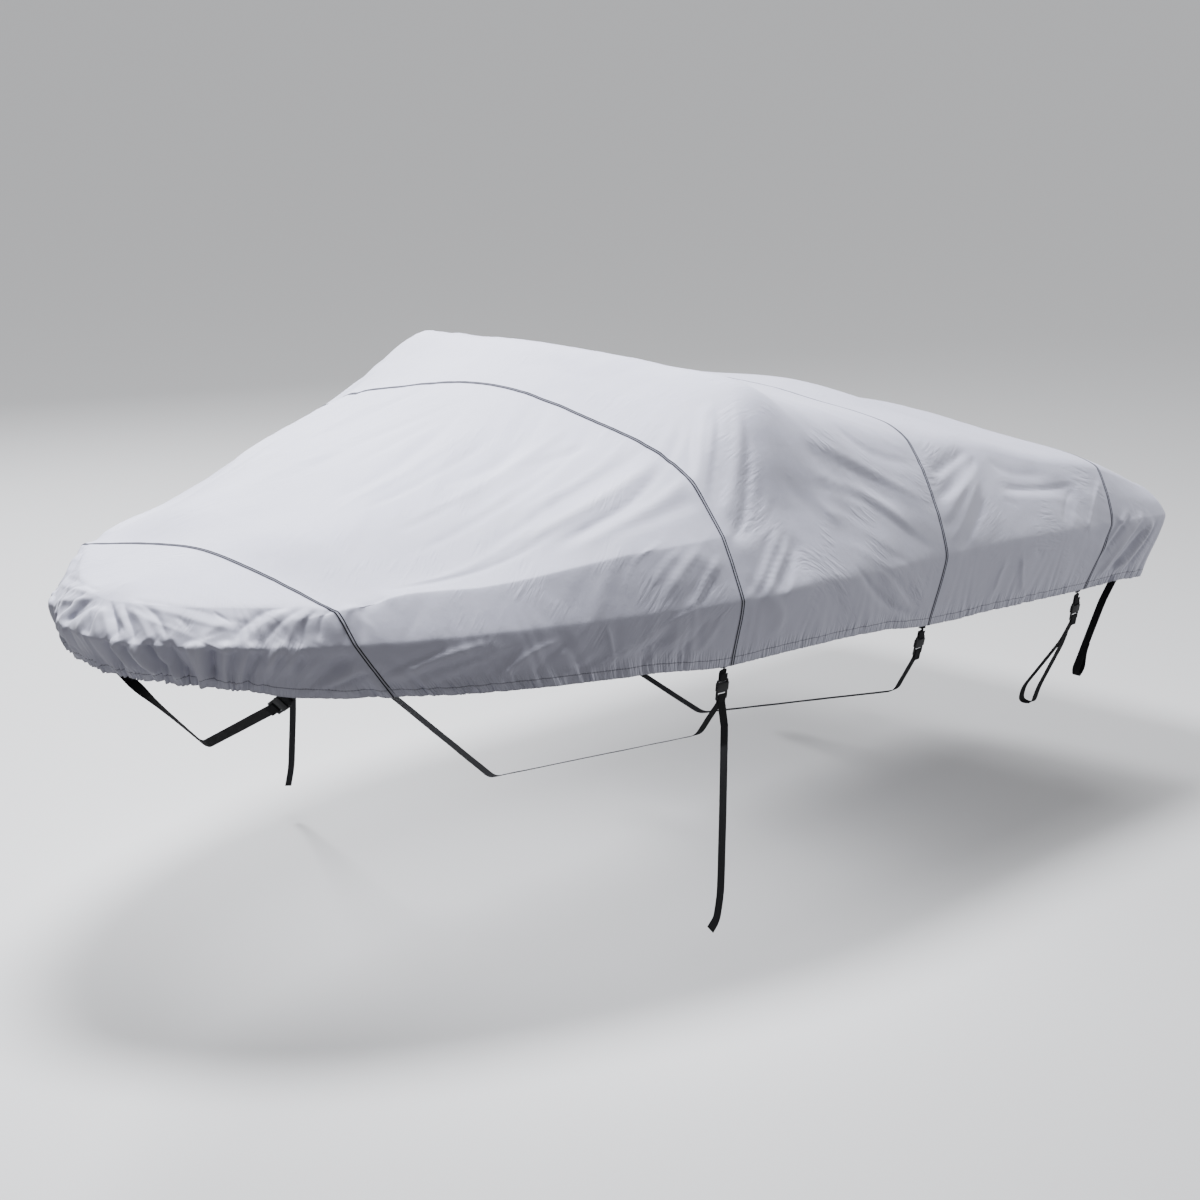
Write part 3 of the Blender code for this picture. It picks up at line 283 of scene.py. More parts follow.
# Creases of the port side: start, middle and end, half width and height, and sharpness in hundredths.
creases = {
    "bowPleats": (
        (-8, 215, -27, 240, -56, 325, 20, 6, 30), (-6, 230, -18, 270, -42, 365, 18, 6, 30),
        (-3, 245, -10, 305, -19, 380, 26, -10, 40), (-2, 260, -3, 320, -6, 395, 30, 9, 30),
        (1, 270, 1, 330, 1, 395, 20, -6, 40), (-12, 170, -30, 200, -69, 325, 20, -4, 30),
        (2, 245, 8, 315, 12, 390, 26, 7, 30), (4, 220, 11, 300, 15, 385, 16, -8, 50),
        (9, 235, 15, 305, 19, 380, 26, 8, 30), (12, 215, 18, 300, 22, 380, 16, -8, 50),
        (18, 240, 24, 310, 28, 385, 28, 8, 30), (21, 210, 29, 270, 33, 370, 22, -10, 50),
        (29, 315, 33, 365, 35, 415, 26, 6, 30), (45, 365, 50, 320, 58, 270, 30, 6, 30),
        (52, 230, 55, 255, 58, 280, 8, -4, 80), (36, 255, 39, 280, 41, 315, 20, -5, 30),
        (58, 365, 65, 275, 84, 195, 22, -8, 40), (59, 395, 69, 300, 87, 225, 30, 7, 30),
        (66, 380, 76, 300, 90, 215, 18, -6, 40), (73, 400, 80, 320, 93, 235, 28, 6, 30),
        (79, 410, 83, 330, 93, 240, 14, -6, 50), (86, 370, 90, 320, 99, 250, 14, -5, 50),
        (94, 370, 100, 315, 107, 270, 22, 5, 30), (99, 400, 107, 315, 116, 270, 22, -5, 40),
        (9, 405, 11, 445, 12, 475, 18, -10, 40), (12, 400, 15, 445, 18, 475, 26, 9, 30),
        (16, 405, 19, 450, 24, 475, 18, -9, 40), (21, 405, 24, 455, 28, 480, 26, 9, 30),
        (25, 385, 28, 440, 31, 475, 22, -12, 50), (28, 405, 32, 455, 36, 480, 28, 11, 30),
        (35, 370, 35, 430, 39, 475, 22, -12, 50), (41, 375, 42, 435, 43, 480, 26, 8, 30),
        (46, 370, 45, 430, 45, 480, 28, 9, 30), (49, 400, 48, 445, 48, 480, 22, -14, 50),
        (55, 365, 53, 425, 52, 485, 24, 8, 30), (58, 405, 55, 450, 55, 485, 18, -8, 40),
        (64, 370, 60, 435, 56, 490, 26, 7, 30), (66, 415, 62, 455, 58, 495, 16, -8, 50),
        (73, 375, 67, 450, 62, 495, 24, 6, 30), (73, 420, 69, 460, 66, 490, 16, -7, 50),
        (80, 380, 74, 455, 69, 495, 22, 6, 30), (80, 425, 76, 460, 73, 495, 16, -7, 50),
        (84, 430, 79, 465, 75, 495, 22, 6, 30), (96, 425, 83, 465, 76, 495, 26, -11, 40),
        (94, 450, 84, 475, 77, 500, 24, 8, 30), (101, 450, 87, 475, 79, 500, 18, -8, 40),
        (104, 450, 90, 472, 80, 500, 28, 5, 30),
    ),
    "foredeckSkirt": (
        (128, 425, 107, 450, 92, 470, 22, -7, 40), (145, 425, 118, 445, 93, 480, 28, 8, 30),
        (145, 440, 123, 455, 103, 475, 18, -6, 40), (154, 430, 131, 455, 109, 480, 26, 7, 30),
        (154, 435, 143, 460, 135, 480, 22, -6, 30), (169, 435, 155, 450, 140, 480, 20, 7, 50),
        (174, 435, 164, 455, 154, 480, 18, -5, 40), (189, 445, 177, 465, 164, 490, 22, 6, 30),
        (225, 405, 202, 450, 174, 485, 18, 7, 60), (215, 450, 206, 460, 198, 470, 10, -6, 80),
        (225, 440, 212, 465, 201, 490, 22, 6, 30), (233, 425, 226, 455, 216, 480, 16, -5, 40),
        (239, 425, 233, 460, 226, 480, 20, 5, 30), (189, 420, 189, 445, 189, 470, 7, 3, 80),
        (226, 270, 212, 305, 199, 360, 7, 3, 80), (228, 315, 219, 335, 212, 355, 22, 4, 20),
        (236, 320, 225, 345, 213, 375, 20, 5, 30), (245, 335, 233, 365, 223, 410, 20, 8, 50),
        (239, 355, 230, 380, 222, 410, 13, -7, 60),
    ),
    "foredeckTop": (
        (235, 0, 185, 35, 147, 40, 45, -6, 20), (223, 5, 199, 0, 171, 0, 40, -3, 10),
        (246, 60, 218, 90, 182, 95, 40, -5, 20), (177, 120, 164, 125, 147, 130, 20, -4, 40),
        (239, 120, 205, 125, 169, 135, 45, -4, 20), (237, 125, 223, 120, 209, 115, 25, -3, 30),
        (250, 155, 213, 165, 167, 180, 26, -5, 35), (247, 170, 213, 185, 175, 190, 34, 7, 30),
        (246, 180, 219, 200, 189, 220, 22, -6, 40), (250, 200, 225, 220, 186, 245, 36, 8, 20),
        (250, 235, 228, 235, 202, 245, 34, -4, 20), (242, 95, 205, 110, 160, 120, 26, 4, 30),
        (244, 110, 212, 135, 172, 150, 20, -4, 40), (248, 140, 220, 155, 190, 162, 18, 4, 40),
        (210, 130, 178, 148, 142, 160, 20, -4, 40), (195, 175, 162, 192, 130, 205, 20, 4, 40),
        (190, 195, 155, 212, 122, 225, 18, -4, 40), (225, 60, 185, 75, 145, 85, 24, -4, 40),
        (215, 40, 175, 55, 135, 65, 22, 3, 30),
    ),
    "cornerFan": (
        (262, 155, 256, 155, 249, 160, 20, -4, 30), (264, 160, 256, 165, 247, 170, 22, 5, 30),
        (264, 170, 254, 175, 243, 185, 18, -5, 30), (273, 165, 262, 175, 245, 185, 24, 7, 30),
        (274, 165, 262, 180, 247, 205, 18, -8, 40), (276, 175, 262, 190, 246, 225, 24, 9, 30),
        (277, 180, 266, 205, 250, 240, 20, -10, 40), (280, 190, 270, 230, 250, 265, 24, 10, 30),
        (280, 210, 271, 255, 252, 315, 18, -9, 40), (280, 240, 271, 265, 257, 305, 22, 7, 30),
        (277, 265, 270, 290, 257, 315, 18, -6, 30), (283, 285, 273, 300, 263, 325, 22, -4, 20),
        (280, 320, 267, 350, 249, 400, 22, 8, 30), (280, 335, 269, 355, 257, 385, 17, -8, 40),
        (283, 340, 271, 360, 260, 395, 20, 7, 30), (286, 340, 276, 360, 266, 390, 16, -7, 40),
        (284, 360, 277, 375, 270, 410, 18, 6, 30),
    ),
    "longFolds": (
        (362, 140, 358, 200, 378, 215, 26, 4, 20), (334, 190, 345, 235, 376, 245, 26, -10, 40),
        (310, 225, 337, 260, 369, 305, 22, 11, 40), (304, 240, 324, 255, 357, 295, 24, -12, 40),
        (306, 260, 330, 285, 359, 355, 30, 10, 30), (304, 270, 327, 295, 365, 375, 24, -13, 40),
        (304, 285, 321, 330, 345, 380, 28, 9, 30), (311, 305, 325, 340, 347, 390, 20, -9, 40),
        (310, 345, 324, 365, 340, 410, 16, 5, 40), (313, 340, 321, 375, 328, 395, 6, -2, 80),
        (315, 385, 332, 450, 368, 490, 22, -12, 50), (327, 395, 345, 450, 374, 490, 24, 10, 30),
        (345, 420, 355, 450, 369, 475, 22, -4, 30), (273, 400, 287, 385, 307, 390, 34, 6, 20),
        (257, 395, 270, 440, 267, 475, 34, 4, 20),
    ),
    "seatBackFan": (
        (413, 215, 392, 250, 379, 255, 18, -9, 50), (416, 225, 399, 250, 382, 275, 22, 8, 30),
        (416, 230, 405, 265, 376, 310, 18, -12, 50), (416, 240, 400, 280, 381, 320, 24, 8, 30),
        (400, 290, 389, 320, 375, 350, 20, -8, 40), (412, 270, 395, 325, 378, 370, 26, 9, 30),
        (410, 315, 402, 340, 388, 380, 18, -8, 40), (412, 325, 396, 365, 381, 415, 26, 6, 30),
    ),
    "aftTop": (
        (426, 235, 439, 255, 463, 240, 34, -8, 30), (425, 290, 449, 285, 480, 265, 18, -11, 50),
        (422, 310, 447, 305, 468, 300, 30, 5, 20), (498, 250, 487, 320, 476, 415, 22, 8, 30),
        (480, 270, 468, 315, 461, 365, 12, -5, 50), (422, 315, 429, 320, 432, 330, 8, -3, 70),
        (419, 435, 417, 455, 417, 475, 22, 4, 20), (429, 430, 433, 455, 440, 485, 18, 4, 30),
        (439, 425, 443, 435, 447, 440, 10, -4, 60),
    ),
    "sternPleats": (
        (511, 360, 502, 435, 497, 470, 22, 6, 30), (515, 370, 505, 435, 498, 475, 18, -8, 40),
        (524, 375, 514, 450, 504, 490, 24, 11, 40), (528, 420, 521, 460, 512, 495, 18, -9, 40),
        (531, 410, 528, 455, 517, 485, 24, 9, 30), (535, 415, 532, 460, 525, 490, 18, -8, 40),
    ),
}


creaseShares = {   # height of the creases above and below the rub rail, and their width
    "bowPleats": (1.00, 1.80, 0.80), "foredeckSkirt": (1.10, 0.95, 0.75), "foredeckTop": (1.60, 1.0, 0.80),
    "cornerFan": (0.65, 0.65, 0.75), "longFolds": (0.42, 0.65, 0.75), "seatBackFan": (0.55, 0.6, 0.75),
    "aftTop": (0.65, 0.9, 0.75), "sternPleats": (1.0, 1.2, 0.80),
}


# Where the straps are sewn inside the hem, metres round the rail.
sewnAt = {"bow": 0.745, "front": 2.450, "middle": 3.713, "aft": 4.951, "loop": 5.640}


def ease(t):
    t = np.clip(t, 0.0, 1.0)
    return t * t * (3.0 - 2.0 * t)


foldForm = {
    "points": 10, "past": 0.08,     # points along each fold, and how far it runs past its ends
    "reach": 3.0,                   # in half widths, where a fold stops counting
    "fade": 0.28,                   # share of the length over which each end dies away
    "lean": 0.30, "leanTurn": 1.9,  # how much steeper one side of a fold may be, and its change to the next
    "crisp": 1.9, "ridge": 0.02, "crest": 0.14,    # how a sharp crease falls off, and how round its top is
    "rail": 4.2,                    # creases whose middle lies below this level get the second share
}


def foldLine(start, middle, end, side, shift):
    a, m, b = (np.array(v) for v in (start, middle, end))
    t = np.linspace(-foldForm["past"], 1.0 + foldForm["past"], foldForm["points"])[:, None]
    bend = 2.0 * m - (a + b) / 2.0
    places = a * (1 - t) ** 2 + 2.0 * bend * t * (1 - t) + b * t * t
    s = places[:, 0] + shift
    return s, places[:, 1], fairPoints(s, places[:, 1], side)


def foldRows():   # start, middle, end, half width, height and sharpness of each fold, in metres and levels
    rows = []
    for *ends, width, height in broadFolds:
        s0, k0, s1, k1 = (v / 100.0 for v in ends)
        middle = ((s0 + s1) / 2.0, (k0 + k1) / 2.0)
        rows.append(((s0, k0), middle, (s1, k1), width / 1000.0, height / 1000.0 * cover["broadShare"], 0.0))
    for name, group in creases.items():
        above, below, narrow = creaseShares[name]
        for *ends, width, height, sharp in group:
            s0, k0, s1, k1, s2, k2 = (v / 100.0 for v in ends)
            share = below if k1 > foldForm["rail"] else above
            rows.append(((s0, k0), (s1, k1), (s2, k2), width / 1000.0 * narrow, height / 1000.0 * share,
                         sharp / 100.0))
    return rows


def starboardTwin(start, end):   # how far a starboard fold is moved, and its share of the height
    centre = (start[0] + end[0]) / 2.0
    shift, shiftTurns = cover["starboardShift"]
    swing, swingTurns = cover["starboardSwing"]
    return shift * math.sin(shiftTurns * centre), 1.0 - swing * (1.0 + math.cos(swingTurns * centre)) / 2.0


def gatherFolds():
    folds = []
    for i, (start, middle, end, width, height, sharp) in enumerate(foldRows()):
        for side in (1.0, -1.0):
            shift, scale = starboardTwin(start, end) if side < 0.0 else (0.0, 1.0)
            s, k, line = foldLine(start, middle, end, side, shift)
            half = len(s) // 2
            upwards = outwards(s[half:half + 1], np.abs(k[half:half + 1]), np.array([side]))[0]
            across = np.cross(upwards, line[-1] - line[0])
            folds.append({"line": line, "across": across, "width": width, "height": height * scale,
                          "sharp": sharp,
                          "lean": foldForm["lean"] * math.sin(foldForm["leanTurn"] * i + side)})
    return folds


def foldLift(points, folds):
    lift = np.zeros(len(points))
    for fold in folds:
        line, width = fold["line"], fold["width"]
        reach = foldForm["reach"] * width
        inBox = (points > line.min(axis=0) - reach) & (points < line.max(axis=0) + reach)
        ids = np.flatnonzero(inBox.all(axis=1))
        if not len(ids):
            continue
        p = points[ids]
        best = np.full(len(ids), 1e9)
        place = np.zeros(len(ids))
        sign = np.zeros(len(ids))
        for i, (a, b) in enumerate(zip(line, line[1:])):
            run = b - a
            t = np.clip((p - a) @ run / (run @ run), 0.0, 1.0)
            gap = p - a - t[:, None] * run
            far = np.linalg.norm(gap, axis=1)
            closer = far < best
            best = np.where(closer, far, best)
            place = np.where(closer, i + t, place)
            sign = np.where(closer, np.sign(gap @ fold["across"]), sign)
        along = place / (len(line) - 1)
        d = best / (width * (1.0 + fold["lean"] * sign * np.minimum(best / width, 1.0)))
        soft = np.exp(-d * d)
        crisp = np.exp(-foldForm["crisp"] * (np.sqrt(d * d + foldForm["ridge"]) - foldForm["crest"]))
        shape = soft * (1.0 - fold["sharp"]) + crisp * fold["sharp"]
        ends = ease(along / foldForm["fade"]) * ease((1.0 - along) / foldForm["fade"])
        lift[ids] += fold["height"] * shape * ends
    return lift


# Gathers along the hem: metres round the rail, height of the small puffs and of the folds above, mm.
gathers = np.array((
    (0.00, 14.0, 15.0), (0.30, 15.0, 19.0), (0.55, 16.0, 22.0), (0.75, 15.0, 17.0), (0.97, 13.0, 15.0),
    (1.35, 10.0, 10.0), (1.90, 8.0, 7.5), (2.45, 7.6, 6.4), (2.80, 5.0, 4.0), (3.40, 4.0, 3.6),
    (3.75, 5.6, 5.0), (4.30, 6.0, 5.0), (4.90, 7.2, 6.0), (5.20, 9.0, 9.0), (5.55, 9.6, 8.6),
    (6.66, 9.0, 7.6)))
gatherWaves = {   # size, waves right round the boat, phase
    "lean": ((2.2, 17.0, 0.8), (1.4, 41.0, 0.0)), "swell": ((0.25, 97.0, 2.0),),
    "puffs": ((1.1, 61.0, 1.7), (0.9, 143.0, 0.0), (0.5, 217.0, 0.4)),
    "wide": ((1.6, 37.0, 0.0), (1.1, 83.0, 1.0)), "middle": ((1.9, 29.0, 0.6),),
}
gatherForm = {
    "puffs": 221.0, "wide": 158.0, "middle": 96.0,     # waves right round the boat
    "low": 0.060, "high": 0.085, "foot": 0.025,        # metres up from the hem that each part reaches
    "puffPower": 0.8, "puffMiddle": 1.2, "swell": 0.75,
    "wideLean": 9.0, "middleLean": 7.0, "middleShare": 0.7, "footShare": 0.5,
}


def waves(turn, name, base=0.0):
    for size, count, phase in gatherWaves[name]:
        base = base + size * np.sin(count * turn + phase)
    return base


def hemGathers(s, side, gap):
    form = gatherForm
    turn = math.pi * s * side / railEnd          # -pi to pi right round the boat, so both ends meet
    small, broad = (0.5 * np.interp(s, gathers[:, 0], gathers[:, n]) / 1000.0 for n in (1, 2))
    lean = waves(turn, "lean")
    puff = np.abs(np.sin(form["puffs"] * turn + waves(turn, "puffs") + lean * gap)) ** form["puffPower"]
    wide = np.sin(waves(turn, "wide", form["wide"] * turn) + form["wideLean"] * lean * gap)
    middle = np.sin(waves(turn, "middle", form["middle"] * turn) + form["middleLean"] * lean * gap)
    low = np.exp(-(gap / form["low"]) ** 2)
    high = np.exp(-gap / form["high"]) * (1.0 - form["footShare"] * np.exp(-(gap / form["foot"]) ** 2))
    puffs = small * (2.0 * puff - form["puffMiddle"]) * waves(turn, "swell", form["swell"]) * low
    return puffs + broad * (wide + form["middleShare"] * middle) * high


crumpleForm = {"wide": 7.0, "fine": 17.0, "fineShare": 0.55, "fineStep": Vector((3.1, 0.0, 7.7))}


def crumples(points):   # small unevenness with no direction, wide and fine are grains a metre
    form = crumpleForm
    out = np.empty(len(points))
    for i, place in enumerate(points):
        v = Vector(place)
        fine = noise.noise(v * form["fine"] + form["fineStep"])
        out[i] = noise.noise(v * form["wide"]) + form["fineShare"] * fine
    return out


# Fine wrinkles run with the pull of the cloth: metres round the rail, metres down for each
# metre aft, and how strong they are above and below the deck edge.
pull = np.array((
    (0.00, -0.9, 0.5, 1.1), (0.60, -0.7, 0.7, 1.3), (1.06, -0.5, 1.2, 1.4), (2.30, -0.5, 2.4, 1.5),
    (2.62, 0.0, 1.6, 0.9), (2.95, 0.7, 1.2, 1.1), (3.65, 0.7, 1.0, 1.1), (3.85, -0.5, 1.0, 1.1),
    (4.20, -0.6, 0.9, 1.0), (4.50, 0.1, 0.8, 1.0), (5.20, 0.5, 0.6, 1.0), (6.70, 0.0, 0.6, 1.0)))
pullPlaces = np.linspace(0.0, railEnd, 400)
pullSteps = np.interp(pullPlaces, pull[:, 0], pull[:, 1])[1:] * np.diff(pullPlaces)
pullDrops = np.concatenate(([0.0], np.cumsum(pullSteps)))


wrinkleForm = {
    "slant": 0.4,                        # what a metre down adds to the place along the pull
    "edgeFrom": 1.6, "edgeRun": 0.8,     # levels over which upper passes into lower
    "calmSpine": 0.16,                   # metres beside the spine where the wrinkles die away
    "bend": 0.35, "wide": 1.3, "thin": 0.35, "thinMiddle": 0.5, "thinSharp": 1.7,
    "calm": 0.50, "calmSwing": 1.3, "most": 1.2,
}
wrinkleGrain = {   # grains a metre along and across the pull, and a step that sets the sides apart
    "bend": (3.0, 3.0, 9.0), "wide": (2.4, 9.0, 5.0), "thin": (4.2, 19.0, 7.0), "calm": (2.0, 3.0, 3.0),
}


def pullMap(s, down):   # places along and across the pull
    return s + wrinkleForm["slant"] * down, down - np.interp(s, pullPlaces, pullDrops)


def pullGrain(name, place, *shift):
    return noise.noise(Vector([v * scale + more for v, scale, more in zip(place, wrinkleGrain[name], shift)]))


def wrinkles(s, k, down, side):   # upper above the deck edge, lower below it, and none along the spine
    form = wrinkleForm
    upper, lower = (np.interp(s, pull[:, 0], pull[:, n]) for n in (2, 3))
    strength = upper + (lower - upper) * ease((k - form["edgeFrom"]) / form["edgeRun"])
    strength = strength * ease(down / form["calmSpine"])
    out = np.empty(len(s))
    for i, place in enumerate(zip(*pullMap(s, down), side)):
        bend = form["bend"] * pullGrain("bend", place, 0.0, 0.0, 0.0)
        wide = pullGrain("wide", place, 0.0, 2.0 * bend, 0.0)
        thin = pullGrain("thin", place, 4.0, 3.0 * bend, 2.0)
        calm = form["calm"] + form["calmSwing"] * pullGrain("calm", place, 0.0, 0.0, 6.0)
        out[i] = wide * form["wide"] + form["thin"] * (form["thinMiddle"] - abs(thin) * form["thinSharp"])
        out[i] *= min(max(calm, 0.0), form["most"])
    return out * strength


coverFolds = gatherFolds()
print("folds", len(coverFolds))


def drapedCloth(s, k, side):   # outer face of the cloth, its smooth normal, gap to the hem and fold height
    s, k, side = (np.array(v, dtype=float) for v in np.broadcast_arrays(s, k, side))
    fair = fairPoints(s, k, side)
    normal = outwards(s, k, side)
    gap = hemGaps(s, k)
    down = hemGaps(s, np.zeros(len(s))) - gap
    lift = foldLift(fair, coverFolds) + hemGathers(s, side, gap)
    lift += cover["crumple"] * crumples(fair) + cover["wrinkle"] * wrinkles(s, k, down, side)
    low = ease((k - cover["calmLevel"]) / (5.0 - cover["calmLevel"]) * 2.0)
    for place in sewnAt.values():
        lift *= 1.0 - low * np.exp(-((s - place) / cover["calmWidth"]) ** 2)
    band, step = cover["hemBand"], cover["hemStep"]
    dent = cover["rowDent"] * np.exp(-((gap - band + cover["rowBelow"]) / cover["rowWidth"]) ** 2)
    lift += cover["hemRise"] * ease((band + step / 2.0 - gap) / step) - dent
    return fair + normal * lift[:, None], normal, gap, lift


# Finishes. A Wire is a socket that can be used in sums; a Finish is the nodes of one material or the sky.
class Wire:
    def __init__(self, finish, socket):
        self.finish = finish
        self.socket = socket

    def maths(self, operation, *others):
        return self.finish.add("ShaderNodeMath", {"operation": operation}, dict(enumerate((self,) + others)))

    def __add__(self, other):
        return self.maths("ADD", other)

    def __sub__(self, other):
        return self.maths("SUBTRACT", other)

    def __mul__(self, other):
        return self.maths("MULTIPLY", other)

    def __truediv__(self, other):
        return self.maths("DIVIDE", other)

    def __pow__(self, other):
        return self.maths("POWER", other)

    def __rsub__(self, other):
        return self.finish.add("ShaderNodeMath", {"operation": "SUBTRACT"}, {0: other, 1: self})

    __radd__ = __add__
    __rmul__ = __mul__


class Finish:
    def __init__(self, owner, shader, **fixed):
        owner.use_nodes = True
        self.owner = owner
        self.tree = owner.node_tree
        self.shader = self.tree.nodes[shader]
        self.feed(**fixed)

    def fill(self, node, inputs):
        for key, value in inputs.items():
            if isinstance(value, Wire):
                self.tree.links.new(value.socket, node.inputs[key])
            else:
                node.inputs[key].default_value = value

    def feed(self, **inputs):
        self.fill(self.shader, {key.replace("_", " "): value for key, value in inputs.items()})

    def add(self, kind, settings, inputs, output=0):
        node = self.tree.nodes.new(kind)
        for key, value in settings.items():
            setattr(node, key, value)
        self.fill(node, inputs)
        return Wire(self, node.outputs[output])

    def attribute(self, name):
        return self.add("ShaderNodeAttribute", {"attribute_name": name}, {}, "Fac")

    def objectPlace(self):
        return self.add("ShaderNodeTexCoord", {}, {}, "Object")

    def alongAcross(self):   # the piece's own map, in metres
        place = self.add("ShaderNodeUVMap", {"uv_map": "metres"}, {})
        return [self.add("ShaderNodeSeparateXYZ", {}, {0: place}, i) for i in (0, 1)]

    def grain(self, place, scale, detail):
        return self.add("ShaderNodeTexNoise", {}, {"Vector": place, "Scale": scale, "Detail": detail})

    def stretched(self, wires, turns):   # a place for grain that is drawn out one way
        return self.add("ShaderNodeCombineXYZ", {}, {i: wires[i] * turns[i] for i in (0, 1)})

    def fade(self, value, start, end, least=0.0, most=1.0, kind="SMOOTHSTEP"):   # least at start, most at end
        return self.add("ShaderNodeMapRange", {"interpolation_type": kind},
                        {"Value": value, "From Min": start, "From Max": end, "To Min": least, "To Max": most})

    def blend(self, share, a, b):
        return self.add("ShaderNodeMix", {"data_type": "RGBA"}, {0: share, 6: a, 7: b}, 2)

    def bump(self, height, distance, strength, *below):
        inputs = {"Height": height, "Distance": distance, "Strength": strength}
        inputs.update({"Normal": normal for normal in below})
        return self.add("ShaderNodeBump", {}, inputs)


def newFinish(name, colour, roughness, **fixed):
    return Finish(bpy.data.materials.new(name), "Principled BSDF",
                  Base_Color=colour, Roughness=roughness, **fixed)


def threads(wire, pitch):   # 0 to 1 and back once each pitch
    return (wire * (2.0 * math.pi / pitch)).maths("SINE") * 0.5 + 0.5


def woven(warp, weft):
    return warp * weft + (1.0 - warp) * (1.0 - weft)


clothFinish = {
    "light": (0.425, 0.428, 0.520, 1.0), "dark": (0.370, 0.373, 0.460, 1.0),
    "thread": (0.09, 0.09, 0.11, 1.0), "soiled": (0.20, 0.20, 0.22, 1.0), "wornAndHighlight": (0.56, 0.56, 0.60, 1.0),
    "yarns": (260.0, 2.0), "mottle": (38.0, 3.0), "patches": (2.3, 4.0),      # grains a metre, detail
    "crumples": (9.0, 5.0), "creases": (46.0, 3.0), "streakPatches": (5.0, 2.0),
    "pitch": 0.0012, "stitch": 0.0065, "stitchAbove": 0.003,
    "soilFade": (0.010, 0.0, 0.0, 0.22), "rowFade": (0.0030, 0.0010, 0.0, 0.75),   # from, to, least, most
    "dashFade": (0.1, 0.4, 0.5, 1.0), "ridgeHighlightFade": (0.004, 0.016, 0.0, 0.14),
    "streakFade": (0.48, 0.66), "rucheFade": (0.085, 0.015),
    "streaks": (8.0, 27.0), "ruche": (95.0, 12.0),     # grains a metre along and across
    "creaseBump": (0.0042, 0.50), "streakBump": (0.0090, 0.8), "rucheBump": (0.0120, 1.0),
    "stitchBump": (0.0012, 0.8), "weaveBump": (0.00018, 0.35),      # metres, strength
}


def makeCoverCloth():
    cloth = clothFinish
    finish = newFinish("coverCloth", cloth["light"], 0.70, Sheen_Weight=0.12, Sheen_Roughness=0.45)
    place = finish.objectPlace()
    along, across = finish.alongAcross()
    weave = woven(threads(along, cloth["pitch"]), threads(across, cloth["pitch"]))
    yarn = finish.grain(place, *cloth["yarns"])
    patches = finish.grain(place, *cloth["patches"])
    mottle = finish.grain(place, *cloth["mottle"])
    share = patches * 0.55 + mottle * 0.35 + yarn * 0.45 + weave * 0.10 - 0.22
    colour = finish.blend(share.maths("MINIMUM", 1.0), cloth["light"], cloth["dark"])

    hem = finish.attribute("hemGap")
    colour = finish.blend(finish.fade(hem, *cloth["soilFade"]), colour, cloth["soiled"])
    row = (hem - (cover["hemBand"] - cloth["stitchAbove"])).maths("ABSOLUTE")
    stitches = finish.fade(row, *cloth["rowFade"])
    dashes = finish.fade(threads(along, cloth["stitch"]), *cloth["dashFade"], "LINEAR")
    colour = finish.blend(stitches * dashes, colour, cloth["thread"])
    # fold ridges are painted paler: a painted highlight on the raised folds, together with wear where they
    # rub
    rubbedAndHighlight = finish.fade(finish.attribute("fold"), *cloth["ridgeHighlightFade"], "LINEAR")
    colour = finish.blend(rubbedAndHighlight * mottle * 1.6, colour, cloth["wornAndHighlight"])
    finish.feed(Base_Color=colour, Roughness=0.62 + patches * 0.10 + yarn * 0.08)

    creased = finish.grain(place, *cloth["crumples"]) + finish.grain(place, *cloth["creases"]) * 0.16
    bumps = finish.bump(creased, *cloth["creaseBump"])
    pulled = [finish.attribute(name) for name in ("pullAlong", "pullAcross")]
    streaks = finish.grain(finish.stretched(pulled, cloth["streaks"]), 1.0, 2.0)
    here = finish.fade(finish.grain(place, *cloth["streakPatches"]), *cloth["streakFade"])
    bumps = finish.bump((streaks - 0.5).maths("ABSOLUTE") * here, *cloth["streakBump"], bumps)
    ruche = finish.grain(finish.stretched((along, across), cloth["ruche"]), 1.0, 1.0)
    bumps = finish.bump(ruche * finish.fade(hem, *cloth["rucheFade"]), *cloth["rucheBump"], bumps)
    bumps = finish.bump(1.0 - stitches, *cloth["stitchBump"], bumps)
    finish.feed(Normal=finish.bump(weave, *cloth["weaveBump"], bumps))
    return finish.owner


tapeFinish = {
    "light": (0.415, 0.418, 0.500, 1.0), "dark": (0.35, 0.355, 0.39, 1.0),
    "paintedSeamShade": (0.022, 0.022, 0.027, 1.0), "thread": (0.004, 0.004, 0.006, 1.0),
    "mottle": (60.0, 3.0), "pitch": 0.0012, "stitch": 0.0065, "bump": (0.0007, 0.7),
    "halfGap": 0.0054, "halfLine": 0.0025,      # from the middle to each row of stitches, and half a row, drawn wider than the thread to paint the shade in its groove
    "rowFade": (1.5, 0.6), "dashFade": (0.10, 0.30, 0.85, 1.0),
    "flatFade": (0.45, 0.90, 0.10, 0.75), "middleFade": (0.0078, 0.0064),   # painted shade over the middle of the tape, strongest where it faces up
}


